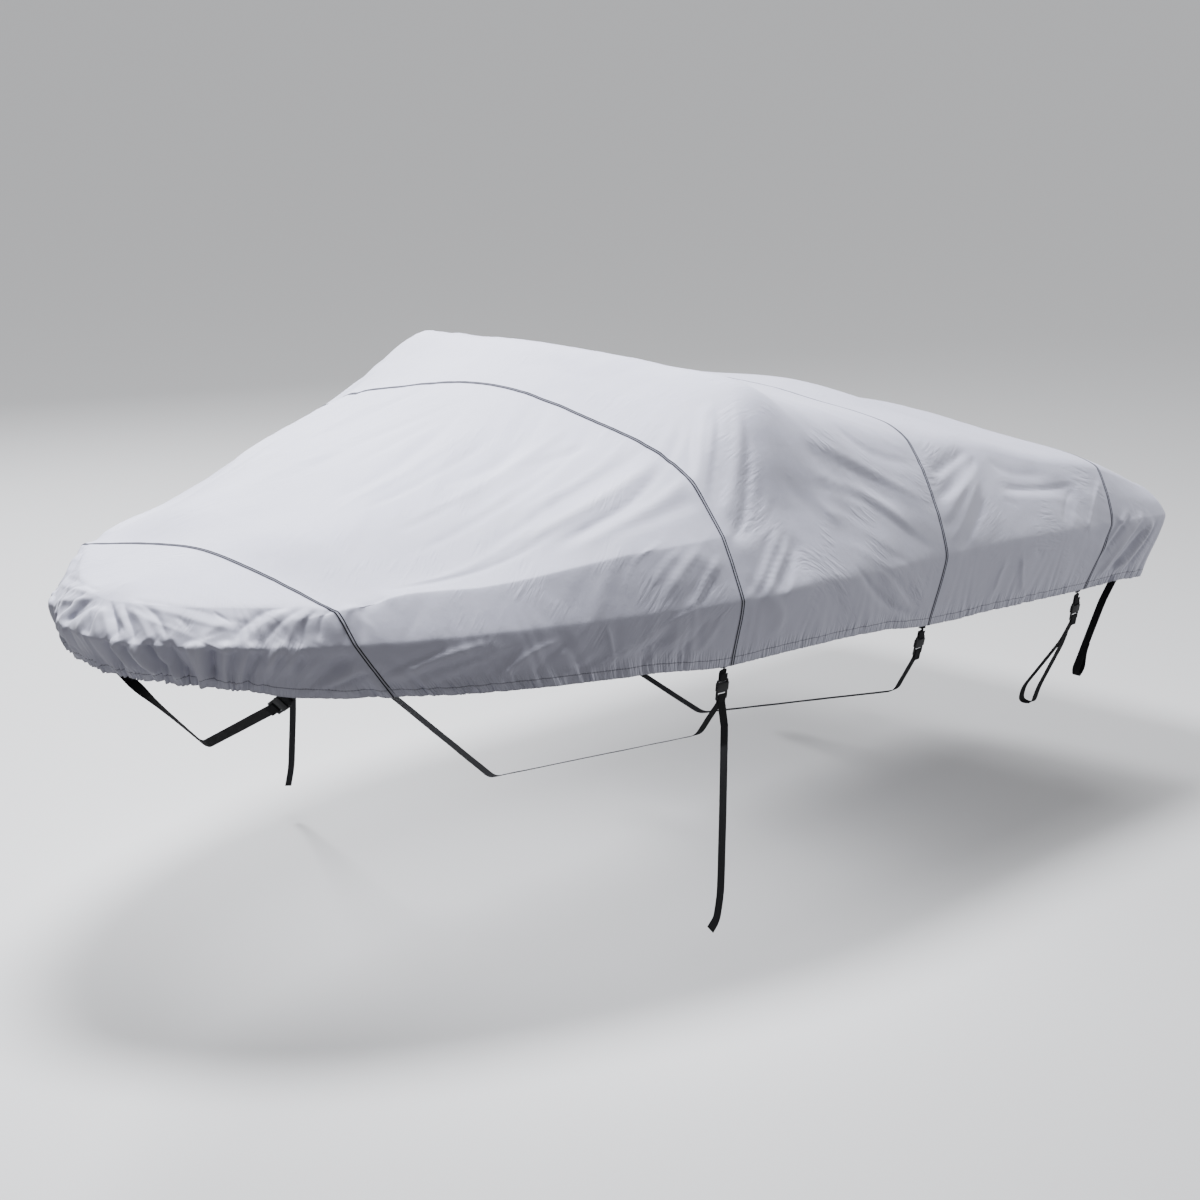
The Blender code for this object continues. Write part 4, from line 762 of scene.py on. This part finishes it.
def makeSeamTape():
    tape = tapeFinish
    finish = newFinish("seamTape", tape["light"], 0.80, Specular_IOR_Level=0.0)
    mottle = finish.grain(finish.objectPlace(), *tape["mottle"])
    along, across = finish.alongAcross()
    fromMiddle = across.maths("ABSOLUTE")
    row = (fromMiddle - tape["halfGap"]).maths("ABSOLUTE") / tape["halfLine"]
    dashes = finish.fade(threads(along, tape["stitch"]), *tape["dashFade"])
    stitches = finish.fade(row, *tape["rowFade"]) * dashes
    colour = finish.blend(mottle * 0.5, tape["light"], tape["dark"])
    # a painted shade, nearly black, darkens the middle of the tape where it faces up
    seamShadeShare = finish.fade(finish.attribute("facesUp"), *tape["flatFade"])
    colour = finish.blend(seamShadeShare * finish.fade(fromMiddle, *tape["middleFade"]), colour, tape["paintedSeamShade"])
    # each row is the dark thread together with a painted shade along its stitch groove
    colour = finish.blend(stitches, colour, tape["thread"])
    finish.feed(Base_Color=colour, Roughness=0.66 + mottle * 0.12)
    weave = threads(along, tape["pitch"]) * threads(across, tape["pitch"])
    finish.feed(Normal=finish.bump(1.0 - stitches + mottle * 0.2 + weave * 0.2, *tape["bump"]))
    return finish.owner


webFinish = {
    "colour": (0.007, 0.007, 0.008, 1.0), "wornAndHighlight": (0.022, 0.022, 0.025, 1.0), "dust": (30.0, 4.0),
    "rib": 0.0021, "yarn": 0.0033, "edgeFade": (0.0150, 0.0190, 0.0, 0.7), "bump": (0.0006, 0.8),
}


def makeWebbing():
    web = webFinish
    finish = newFinish("blackWebbing", web["colour"], 0.80, Specular_IOR_Level=0.10)
    dust = finish.grain(finish.objectPlace(), *web["dust"])
    along, across = finish.alongAcross()
    weave = woven(threads(along, web["rib"]), threads(across, web["yarn"]))
    edge = finish.fade(across.maths("ABSOLUTE"), *web["edgeFade"])
    colour = finish.blend((weave * 0.35 + edge * 0.6) * dust, web["colour"], web["wornAndHighlight"])
    finish.feed(Base_Color=colour, Roughness=0.72 + dust * 0.2,
                Normal=finish.bump(weave + dust * 0.3, *web["bump"]))
    return finish.owner


plasticFinish = {
    "colour": (0.008, 0.008, 0.009, 1.0), "rubbedAndHighlight": (0.022, 0.022, 0.024, 1.0),
    "marks": (55.0, 4.0), "grain": (900.0, 2.0), "bump": (0.00012, 0.6),
}


def makePlastic():
    moulded = plasticFinish
    finish = newFinish("blackPlastic", moulded["colour"], 0.46, Specular_IOR_Level=0.16)
    place = finish.objectPlace()
    marks = finish.grain(place, *moulded["marks"])
    finish.feed(Base_Color=finish.blend(marks ** 3.0 * 0.8, moulded["colour"], moulded["rubbedAndHighlight"]),
                Roughness=0.40 + marks * 0.18,
                Normal=finish.bump(finish.grain(place, *moulded["grain"]), *moulded["bump"]))
    return finish.owner


finishes = {"cloth": makeCoverCloth(), "tape": makeSeamTape(),
            "webbing": makeWebbing(), "plastic": makePlastic()}
print("finishes", len(finishes))


def gridSheet(name, columns, rows):   # a primitive grid, and the column and row of each of its points
    deselectAll()
    bpy.ops.mesh.primitive_grid_add(x_subdivisions=columns, y_subdivisions=rows, size=2.0, calc_uvs=True)
    obj = bpy.context.object
    obj.name = name
    obj.data.name = name
    obj.data.uv_layers[0].name = "metres"
    flat = np.empty(len(obj.data.vertices) * 3)
    obj.data.vertices.foreach_get("co", flat)
    flat = (flat.reshape(-1, 3) + 1.0) / 2.0
    return obj, np.rint(flat[:, 0] * columns).astype(int), np.rint(flat[:, 1] * rows).astype(int)


def setPlaces(obj, points, along, across):
    obj.data.vertices.foreach_set("co", points.ravel())
    corners = np.empty(len(obj.data.loops), dtype=int)
    obj.data.loops.foreach_get("vertex_index", corners)
    places = np.stack((along, across), axis=1)[corners]
    obj.data.uv_layers[0].data.foreach_set("uv", places.ravel())
    obj.data.update()


def addAttributes(obj, **values):
    for name, array in values.items():
        obj.data.attributes.new(name, "FLOAT", "POINT").data.foreach_set("value", array)


def faceOut(obj, towards):   # turns the sheet over if its faces look away from the given normals
    face = obj.data.polygons[len(obj.data.polygons) // 2]
    if face.normal.dot(Vector(towards[face.vertices[0]])) < 0.0:
        obj.data.flip_normals()


def weld(obj, near, gap=0.0001):   # merges points that lie on each other among those for which near is true
    bm = bmesh.new()
    bm.from_mesh(obj.data)
    bm.verts.ensure_lookup_table()
    chosen = [bm.verts[int(i)] for i in np.flatnonzero(near)]
    bmesh.ops.remove_doubles(bm, verts=chosen, dist=gap)
    bm.to_mesh(obj.data)
    bm.free()


def pick(obj):
    deselectAll()
    obj.select_set(True)
    bpy.context.view_layer.objects.active = obj


def applyModifier(obj, kind, **settings):
    modifier = obj.modifiers.new(kind.lower(), kind)
    for key, value in settings.items():
        setattr(modifier, key, value)
    pick(obj)
    bpy.ops.object.modifier_apply(modifier=modifier.name)


def thicken(obj, thickness):   # the cloth grows inwards from its outer face
    applyModifier(obj, "SOLIDIFY", thickness=thickness, offset=-1.0, use_rim=True)


def soften(obj, width, degrees):
    applyModifier(obj, "BEVEL", width=width, segments=2, limit_method="ANGLE",
                  angle_limit=math.radians(degrees))


def dress(obj, degrees, finish, slot, *nodes):   # smooth faces, finish, body, and the nodes it stands for
    pick(obj)
    bpy.ops.object.shade_smooth_by_angle(angle=math.radians(degrees))
    obj.data.materials.append(finishes[finish])
    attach(obj, "root")
    if nodes:
        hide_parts(*nodes)
    return obj


# The five sewn panels. rows is how many rows of faces lie in each stretch from spine to hem.
panels = {
    "bow": {"ends": ("stem", "seam1"), "columns": 560, "rows": (10, 12, 14, 16, 32)},
    "foredeck": {"ends": ("seam1", "seam2"), "columns": 176, "rows": (28, 32, 16, 18, 30)},
    "cockpit": {"ends": ("seam2", "seam3"), "columns": 176, "rows": (28, 32, 16, 18, 30)},
    "aft": {"ends": ("seam3", "seam4"), "columns": 176, "rows": (28, 32, 16, 18, 30)},
    "stern": {"ends": ("seam4", "transomMid"), "columns": 410, "rows": (12, 14, 14, 14, 32)},
}


def levels(counts):   # levels from spine to hem, so many rows in each stretch, closer at the hem
    out = [0.0]
    for i, count in enumerate(counts):
        t = np.arange(1, count + 1) / count
        if i == len(counts) - 1:
            t = 1.0 - (1.0 - t) ** cover["hemCrowd"]
        out += list(i + t)
    return np.array(out)


def makePanel(name, cut):
    first, last = cut["ends"]
    start = placeOf[first] + cover["halfJoin"]
    end = placeOf[last] - cover["halfJoin"]
    steps = levels(cut["rows"])
    wraps = True                       # bow and stern run from side to side, the others from hem to hem
    if first == "stem":
        run = np.linspace(-end, end, cut["columns"] + 1)
    elif last == "transomMid":
        run = np.linspace(start, 2.0 * railEnd - start, cut["columns"] + 1)
    else:
        run, wraps = np.linspace(start, end, cut["columns"] + 1), False
        steps = np.concatenate((-steps[:0:-1], steps))
    obj, i, j = gridSheet(name + "Cloth", len(run) - 1, len(steps) - 1)
    s, k = run[i], steps[j]
    side = np.where((s < 0.0) | (s > railEnd) | (k < 0.0), -1.0, 1.0)
    s0 = np.where(s > railEnd, 2.0 * railEnd - s, np.abs(s))
    points, normal, gap, lift = drapedCloth(s0, np.abs(k), side)
    down = hemGaps(s0, np.zeros(len(s))) - gap
    setPlaces(obj, points, s, down * np.where(k < 0.0, -1.0, 1.0))
    along, across = pullMap(s0, down)
    addAttributes(obj, hemGap=gap, fold=lift, pullAlong=along, pullAcross=across)
    faceOut(obj, normal)
    if wraps:
        weld(obj, k == 0.0)
    thicken(obj, cover["thickness"])
    print(name, "panel", len(obj.data.polygons), "faces")
    return dress(obj, cover["smooth"], "cloth", "cover_cloth", name + "_panel")


panelPieces = {name: makePanel(name, cut) for name, cut in panels.items()}


# A raised tape with two rows of stitches covers each seam between two panels.
seam = {
    "halfWidth": 0.0088, "rise": 0.0012, "thickness": 0.0011, "rows": 260, "smooth": 50.0,
    "across": np.array((-1.0, -0.93, -0.62, -0.30, 0.0, 0.30, 0.62, 0.93, 1.0)),
    "profile": np.array((0.0, 0.80, 0.85, 1.0, 1.0, 1.0, 0.85, 0.80, 0.0)),
    "probe": 0.01,             # how far ahead and behind the cloth's stretch is measured
}


def makeSeam(name, s0):
    k = np.linspace(-5.0, 5.0, seam["rows"] + 1)
    side = np.where(k < 0.0, -1.0, 1.0)
    probes = (-seam["probe"], 0.0, seam["probe"])
    behind, middle, ahead = (fairPoints(s0 + probe, np.abs(k), side) for probe in probes)
    stretch = np.linalg.norm(ahead - behind, axis=1) / (2.0 * seam["probe"])
    obj, i, j = gridSheet(name, len(seam["across"]) - 1, seam["rows"])
    across = seam["across"][i] * seam["halfWidth"]
    points, normal, gap, lift = drapedCloth(s0 + across / stretch[j], np.abs(k[j]), side[j])
    rise = cover["halfJoin"] + seam["rise"] * seam["profile"][i]
    setPlaces(obj, points + normal * rise[:, None], runLengths(middle)[j], across)
    addAttributes(obj, facesUp=normal[:, 2])
    faceOut(obj, normal)
    thicken(obj, seam["thickness"])
    return dress(obj, seam["smooth"], "tape", "cover_cloth")


seamPieces = [makeSeam("seamTape%d" % n, placeOf["seam%d" % n]) for n in (1, 2, 3, 4)]
print("seams", len(seamPieces))


# Straps: the middle of each port buckle, and the bends on the way round the hull. The starboard
# side is the mirror image.
strapPlan = {
    "buckles": {"bow": (0.514, -0.552, 1.182), "front": (2.060, -1.200, 1.035),
                "middle": (3.320, -1.145, 0.938), "aft": (4.495, -1.097, 0.845)},
    "stemFoot": (0.625, 0.0, 0.894),
    "frontRun": ((2.060, -1.087, 0.839), (2.060, 0.0, 0.430)),
    "middleRun": ((3.320, -1.037, 0.729), (3.320, 0.0, 0.420)),
    "aftRun": ((4.495, -1.037, 0.704), (4.430, -0.895, 0.480), (4.435, -0.880, 0.415),
               (4.458, -0.928, 0.405), (4.466, -0.948, 0.480), (4.484, -1.046, 0.690),
               (4.487, -1.063, 0.742)),
    "sternRun": ((4.945, -0.945, 0.780), (4.905, -0.880, 0.540), (4.888, -0.858, 0.455),
                 (4.905, -0.850, 0.415), (4.932, -0.860, 0.455), (4.913, -0.880, 0.540),
                 (4.917, -0.892, 0.585)),
    "portTail": ((2.060, -1.214, 0.900), (2.052, -1.218, 0.520), (2.040, -1.222, 0.250),
                 (2.015, -1.226, 0.165), (1.975, -1.230, 0.135)),
    "starboardTail": ((2.060, -1.214, 0.900), (2.066, -1.220, 0.480), (2.050, -1.224, 0.200),
                      (2.030, -1.226, 0.120)),
    "tabLevel": 4.78, "tabDepth": 0.0062, "bend": 0.030, "barBend": 0.0030, "tailBend": 0.08,
    "offset": 0.0044,          # middle of the webbing from the middle plane of a buckle
    "tabTurn": 0.0344, "tabEnd": 0.0640, "beltTurn": -0.0164, "beltExit": -0.0480, "stubEnd": -0.0620,
    "cornerShare": 0.45,       # the most that a bend takes of the stretch on either side of it
    "bendSteps": 8,
}
webbing = {
    "width": 0.038, "thickness": 0.0015, "edge": 0.3,      # edge is the rounded share of the thickness
    "across": 6, "step": 0.011, "closest": 0.0004, "smooth": 45.0, "bevelFrom": 50.0,
    "ripple": 0.00035, "rippleRun": 0.045, "drift": 3.0, "driftRun": 0.19,     # its edges aren't quite flat
}


def onSide(place, side):
    return Vector((place[0], place[1] * side, place[2])) - Vector(cover["origin"])


def spread(points, radius):   # a path of (point, width direction) with every bend rounded
    out = [points[0]]
    for (a, _), (corner, wide), (b, _) in zip(points, points[1:], points[2:]):
        back, ahead = a - corner, b - corner
        cut = min(radius, back.length * strapPlan["cornerShare"], ahead.length * strapPlan["cornerShare"])
        first, last = corner + back.normalized() * cut, corner + ahead.normalized() * cut
        for i in range(strapPlan["bendSteps"] + 1):
            t = i / strapPlan["bendSteps"]
            out.append((first * (1.0 - t) ** 2 + corner * 2.0 * t * (1.0 - t) + last * t * t, wide))
    return out + [points[-1]]


def hemTangent(s, side):
    reach = webbing["width"]
    a, b = fairPoints(np.array([s - reach, s + reach]), 5.0, side)
    return Vector(b - a).normalized()


def insideHem(s, k, side):
    point, normal, gap, lift = drapedCloth(np.array([s]), k, side)
    return Vector(point[0] - normal[0] * (lift[0] + strapPlan["tabDepth"]))


class StrapEnd:   # where one strap leaves the hem, and how its buckle lies there
    def __init__(self, strap, side):
        self.place = sewnAt[strap]
        self.side = side
        self.middle = onSide(strapPlan["buckles"][strap], side)
        self.hem = insideHem(self.place, 5.0, side)
        self.up = (self.hem - self.middle).normalized()
        normal = Vector(outwards(np.array([self.place]), np.array([5.0]), np.array([side]))[0])
        self.out = (normal - self.up * normal.dot(self.up)).normalized()
        self.wide = self.out.cross(self.up)

    def loop(self, offset, turn, end):   # out round a bar of the buckle and back
        corners = ((-offset, end), (-offset, turn), (offset, turn), (offset, end))
        return spread([(self.middle + self.out * y + self.up * z, self.wide) for y, z in corners],
                      strapPlan["barBend"])

    def sewn(self):
        wide = hemTangent(self.place, self.side)
        return [(insideHem(self.place, strapPlan["tabLevel"], self.side), wide), (self.hem, wide)]

    def tab(self):
        return self.sewn() + self.loop(strapPlan["offset"], strapPlan["tabTurn"], strapPlan["tabEnd"])

    def belt(self, tail):
        return tail + self.loop(-strapPlan["offset"], strapPlan["beltTurn"], strapPlan["beltExit"])

    def stub(self):
        return [(self.middle + self.out * strapPlan["offset"] + self.up * strapPlan["stubEnd"], self.wide)]

    def run(self, places):
        return [(onSide(p, self.side), self.wide) for p in places]

    def tail(self, places):
        return spread(self.run(places), strapPlan["tailBend"])[::-1]


def evenPath(path):   # the same path with points at even steps, width directions blended
    points, wides = (np.array([tuple(row[n]) for row in path]) for n in (0, 1))
    lengths = runLengths(points)
    keep = np.concatenate(([True], np.diff(lengths) > 1e-7))
    points, wides, lengths = points[keep], wides[keep], lengths[keep]
    extra = np.arange(0.0, lengths[-1], webbing["step"])
    every = np.unique(np.round(np.concatenate((lengths, extra)), 5))
    every = every[np.concatenate(([True], np.diff(every) > webbing["closest"]))]
    every[-1] = lengths[-1]
    place, wide = (np.stack([np.interp(every, lengths, v[:, i]) for i in range(3)], axis=1)
                   for v in (points, wides))
    return place, unit(wide), every


def makeStrap(name, path, *nodes):
    place, wide, length = evenPath(path)
    obj, i, j = gridSheet(name, webbing["across"], len(place) - 1)
    along = unit(np.gradient(place, axis=0))
    wide = unit(wide - along * np.sum(wide * along, axis=1, keepdims=True))
    through = np.cross(along, wide)
    across = (i / webbing["across"] - 0.5) * webbing["width"]
    drift = webbing["drift"] * np.sin(length[j] / webbing["driftRun"])
    wave = np.sin(length[j] / webbing["rippleRun"] + drift)
    ripple = webbing["ripple"] * wave * (2.0 * np.abs(across) / webbing["width"])
    height = webbing["thickness"] / 2.0 + ripple
    setPlaces(obj, place[j] + wide[j] * across[:, None] + through[j] * height[:, None], length[j], across)
    faceOut(obj, through[j])
    thicken(obj, webbing["thickness"])
    soften(obj, webbing["thickness"] * webbing["edge"], webbing["bevelFrom"])
    straps.append(dress(obj, webbing["smooth"], "webbing", "black_webbing", *nodes))


def turned(path):   # the same path run the other way
    return [(p, -wide) for p, wide in path[::-1]]


def crossing(a, b, places):   # the stretch under the hull from the port end to the starboard end
    keel = (a.wide - b.wide).normalized()
    return a.run(places[:-1]) + [(onSide(places[-1], 1.0), keel)] + turned(b.run(places[:-1]))


straps = []
for strap, places in (("bow", (strapPlan["stemFoot"],)), ("middle", strapPlan["middleRun"])):
    near, far = StrapEnd(strap, 1.0), StrapEnd(strap, -1.0)
    makeStrap(strap + "Tab", near.tab(), strap + "_tab")
    start = near.belt(near.stub())
    whole = spread([start[-1]] + crossing(near, far, places) + far.sewn()[::-1], strapPlan["bend"])
    makeStrap(strap + "Belt", start[:-1] + whole, strap + "_belt")

near, far = StrapEnd("front", 1.0), StrapEnd("front", -1.0)
makeStrap("frontTabPort", near.tab(), "front_tab_port")
makeStrap("frontTabStarboard", far.tab(), "front_tab_starboard")
start = near.belt(near.tail(strapPlan["portTail"]))
finish = turned(far.belt(far.tail(strapPlan["starboardTail"])))
whole = spread([start[-1]] + crossing(near, far, strapPlan["frontRun"]) + [finish[0]], strapPlan["bend"])
makeStrap("frontBelt", start[:-1] + whole + finish[1:], "front_belt")

for word, side in (("Port", 1.0), ("Starboard", -1.0)):
    end = StrapEnd("aft", side)
    makeStrap("aftTab" + word, end.tab(), "aft_tab_" + word.lower())
    start = end.belt(end.stub())
    whole = spread([start[-1]] + end.run(strapPlan["aftRun"]), strapPlan["bend"])
    makeStrap("aftBelt" + word, start[:-1] + whole, "aft_belt_" + word.lower())
    place = sewnAt["loop"]
    wide = hemTangent(place, side)
    sewn = [(insideHem(place, k, side), wide) for k in (strapPlan["tabLevel"], 5.0)]
    down = [(onSide(p, side), wide) for p in strapPlan["sternRun"]]
    makeStrap("sternLoop" + word, spread(sewn + down, strapPlan["bend"]), "stern_loop_" + word.lower())
print("straps", len(straps))


# Buckles: the two moulded halves of each, with softened edges.
buckle = {"edge": 0.0007, "merge": 0.00002, "flat": 0.02, "smooth": 35.0, "bevelFrom": 35.0}
buckleHalves = []


def makeBuckleHalf(name, node):
    mesh = frame["nodes"][node].data.copy()
    mesh.name = name
    obj = bpy.data.objects.new(name, mesh)
    bpy.context.scene.collection.objects.link(obj)
    bm = bmesh.new()
    bm.from_mesh(mesh)
    bmesh.ops.remove_doubles(bm, verts=bm.verts, dist=buckle["merge"])
    bmesh.ops.dissolve_limit(bm, angle_limit=buckle["flat"], verts=bm.verts, edges=bm.edges)
    bm.to_mesh(mesh)
    bm.free()
    mesh.materials.clear()
    soften(obj, buckle["edge"], buckle["bevelFrom"])
    dress(obj, buckle["smooth"], "plastic", "black_plastic", node)
    buckleHalves.append(name)


for strap in ("bow", "front_port", "front_starboard", "middle", "aft_port", "aft_starboard"):
    word, _, end = strap.partition("_")
    for half in ("socket", "plug"):
        node = word + "_" + half + ("_" + end if end else "")
        makeBuckleHalf(word + "Buckle" + half.capitalize() + end.capitalize(), node)
print("buckles", len(buckleHalves))


# What each panel was cut to before sewing, width from hem to hem, length and area, and what is sewn to it.
cuts = {
    "bow": ((2.30, 0.95), 1.12, "bow", ["seamTape1", "bowTab", "bowBelt"]),
    "foredeck": ((3.40, 1.55), 4.40, "front",
                 ["seamTape2", "frontTabPort", "frontTabStarboard", "frontBelt"]),
    "cockpit": ((3.95, 1.30), 5.05, "middle", ["seamTape3", "middleTab", "middleBelt"]),
    "aft": ((3.75, 1.30), 4.65, "aft",
            ["seamTape4", "aftTabPort", "aftTabStarboard", "aftBeltPort", "aftBeltStarboard"]),
    "stern": ((3.60, 1.25), 2.85, "stern", ["sternLoopPort", "sternLoopStarboard"]),
}
for name, (flat, area, strap, sewnOn) in cuts.items():
    clips = [half for half in buckleHalves if half.startswith(strap)]
    sewnOn + clips


# Stage: a pale floor, soft light from above, and the camera.
stage = {
    "floor": -2.125, "size": 600.0, "floorColour": (0.42, 0.42, 0.425, 1.0), "floorGlow": 0.22,
    "sky": (0.99, 0.985, 0.98, 1.0), "skyFill": 0.28,
    "horizon": 0.46, "horizonHeight": 0.10,      # a paler band along the horizon
    "lamp": (0.955, 0.97, 1.0),
}
lamps = {   # place, what it points at, size in metres, power
    "topLight": ((-1.0, 0.6, 5.2), (-0.9, 0.1, -1.0), 2.2, 1450.0),
    "rakeLight": ((3.0, 7.8, 3.7), (-0.6, 0.0, -0.4), 1.6, 1150.0),
    "floorLight": ((-0.5, -0.3, -1.3), (-0.5, -0.3, -3.0), 3.0, 58.0),
    "sideLight": ((9.0, -5.2, 0.6), (1.0, -0.8, -0.9), 2.0, 440.0),
}
sun = {"angle": 30.0, "power": 2.5, "direction": (-0.22, -0.20, -0.95)}
view = {   # metres, degrees and mm
    "place": (-7.70, -7.54, 1.772), "turn": (75.42, 0.0, -46.64), "lens": 83.28, "sensor": 36.0,
}


def addToScene(name, data, place=(0.0, 0.0, 0.0)):
    obj = bpy.data.objects.new(name, data)
    obj.location = place
    bpy.context.scene.collection.objects.link(obj)
    return obj


def aim(obj, direction):
    obj.rotation_euler = Vector(direction).to_track_quat("-Z", "Y").to_euler()


deselectAll()
bpy.ops.mesh.primitive_plane_add(size=stage["size"], location=(0.0, 0.0, stage["floor"]))
floor = bpy.context.object
floor.name = "floor"
paint = newFinish("paleFloor", stage["floorColour"], 0.75,
                  Emission_Color=stage["floorColour"], Emission_Strength=stage["floorGlow"])
floor.data.materials.append(paint.owner)
floor.visible_diffuse = False      # the skirt stays in shade, as over a dark hull

world = bpy.data.worlds.new("studio")
sky = Finish(world, "Background", Color=stage["sky"])
height = sky.add("ShaderNodeSeparateXYZ", {}, {0: sky.add("ShaderNodeTexCoord", {}, {}, "Generated")}, "Z")
sky.feed(Strength=sky.fade(height, 0.0, stage["horizonHeight"], stage["horizon"], stage["skyFill"], "LINEAR"))
bpy.context.scene.world = world

for name, (place, target, size, power) in lamps.items():
    data = bpy.data.lights.new(name, "AREA")
    data.shape = "DISK"
    data.size = size
    data.energy = power
    data.color = stage["lamp"]
    aim(addToScene(name, data, place), Vector(target) - Vector(place))
bpy.data.objects["floorLight"].visible_camera = False

sunData = bpy.data.lights.new("overheadLight", "SUN")
sunData.angle = math.radians(sun["angle"])
sunData.energy = sun["power"]
sunData.color = stage["lamp"]
aim(addToScene("overheadLight", sunData), sun["direction"])

cameraData = bpy.data.cameras.new("camera")
cameraData.lens = view["lens"]
cameraData.sensor_width = view["sensor"]
camera = addToScene("camera", cameraData, view["place"])
camera.rotation_euler = [math.radians(a) for a in view["turn"]]
bpy.context.scene.camera = camera

print("stage set")
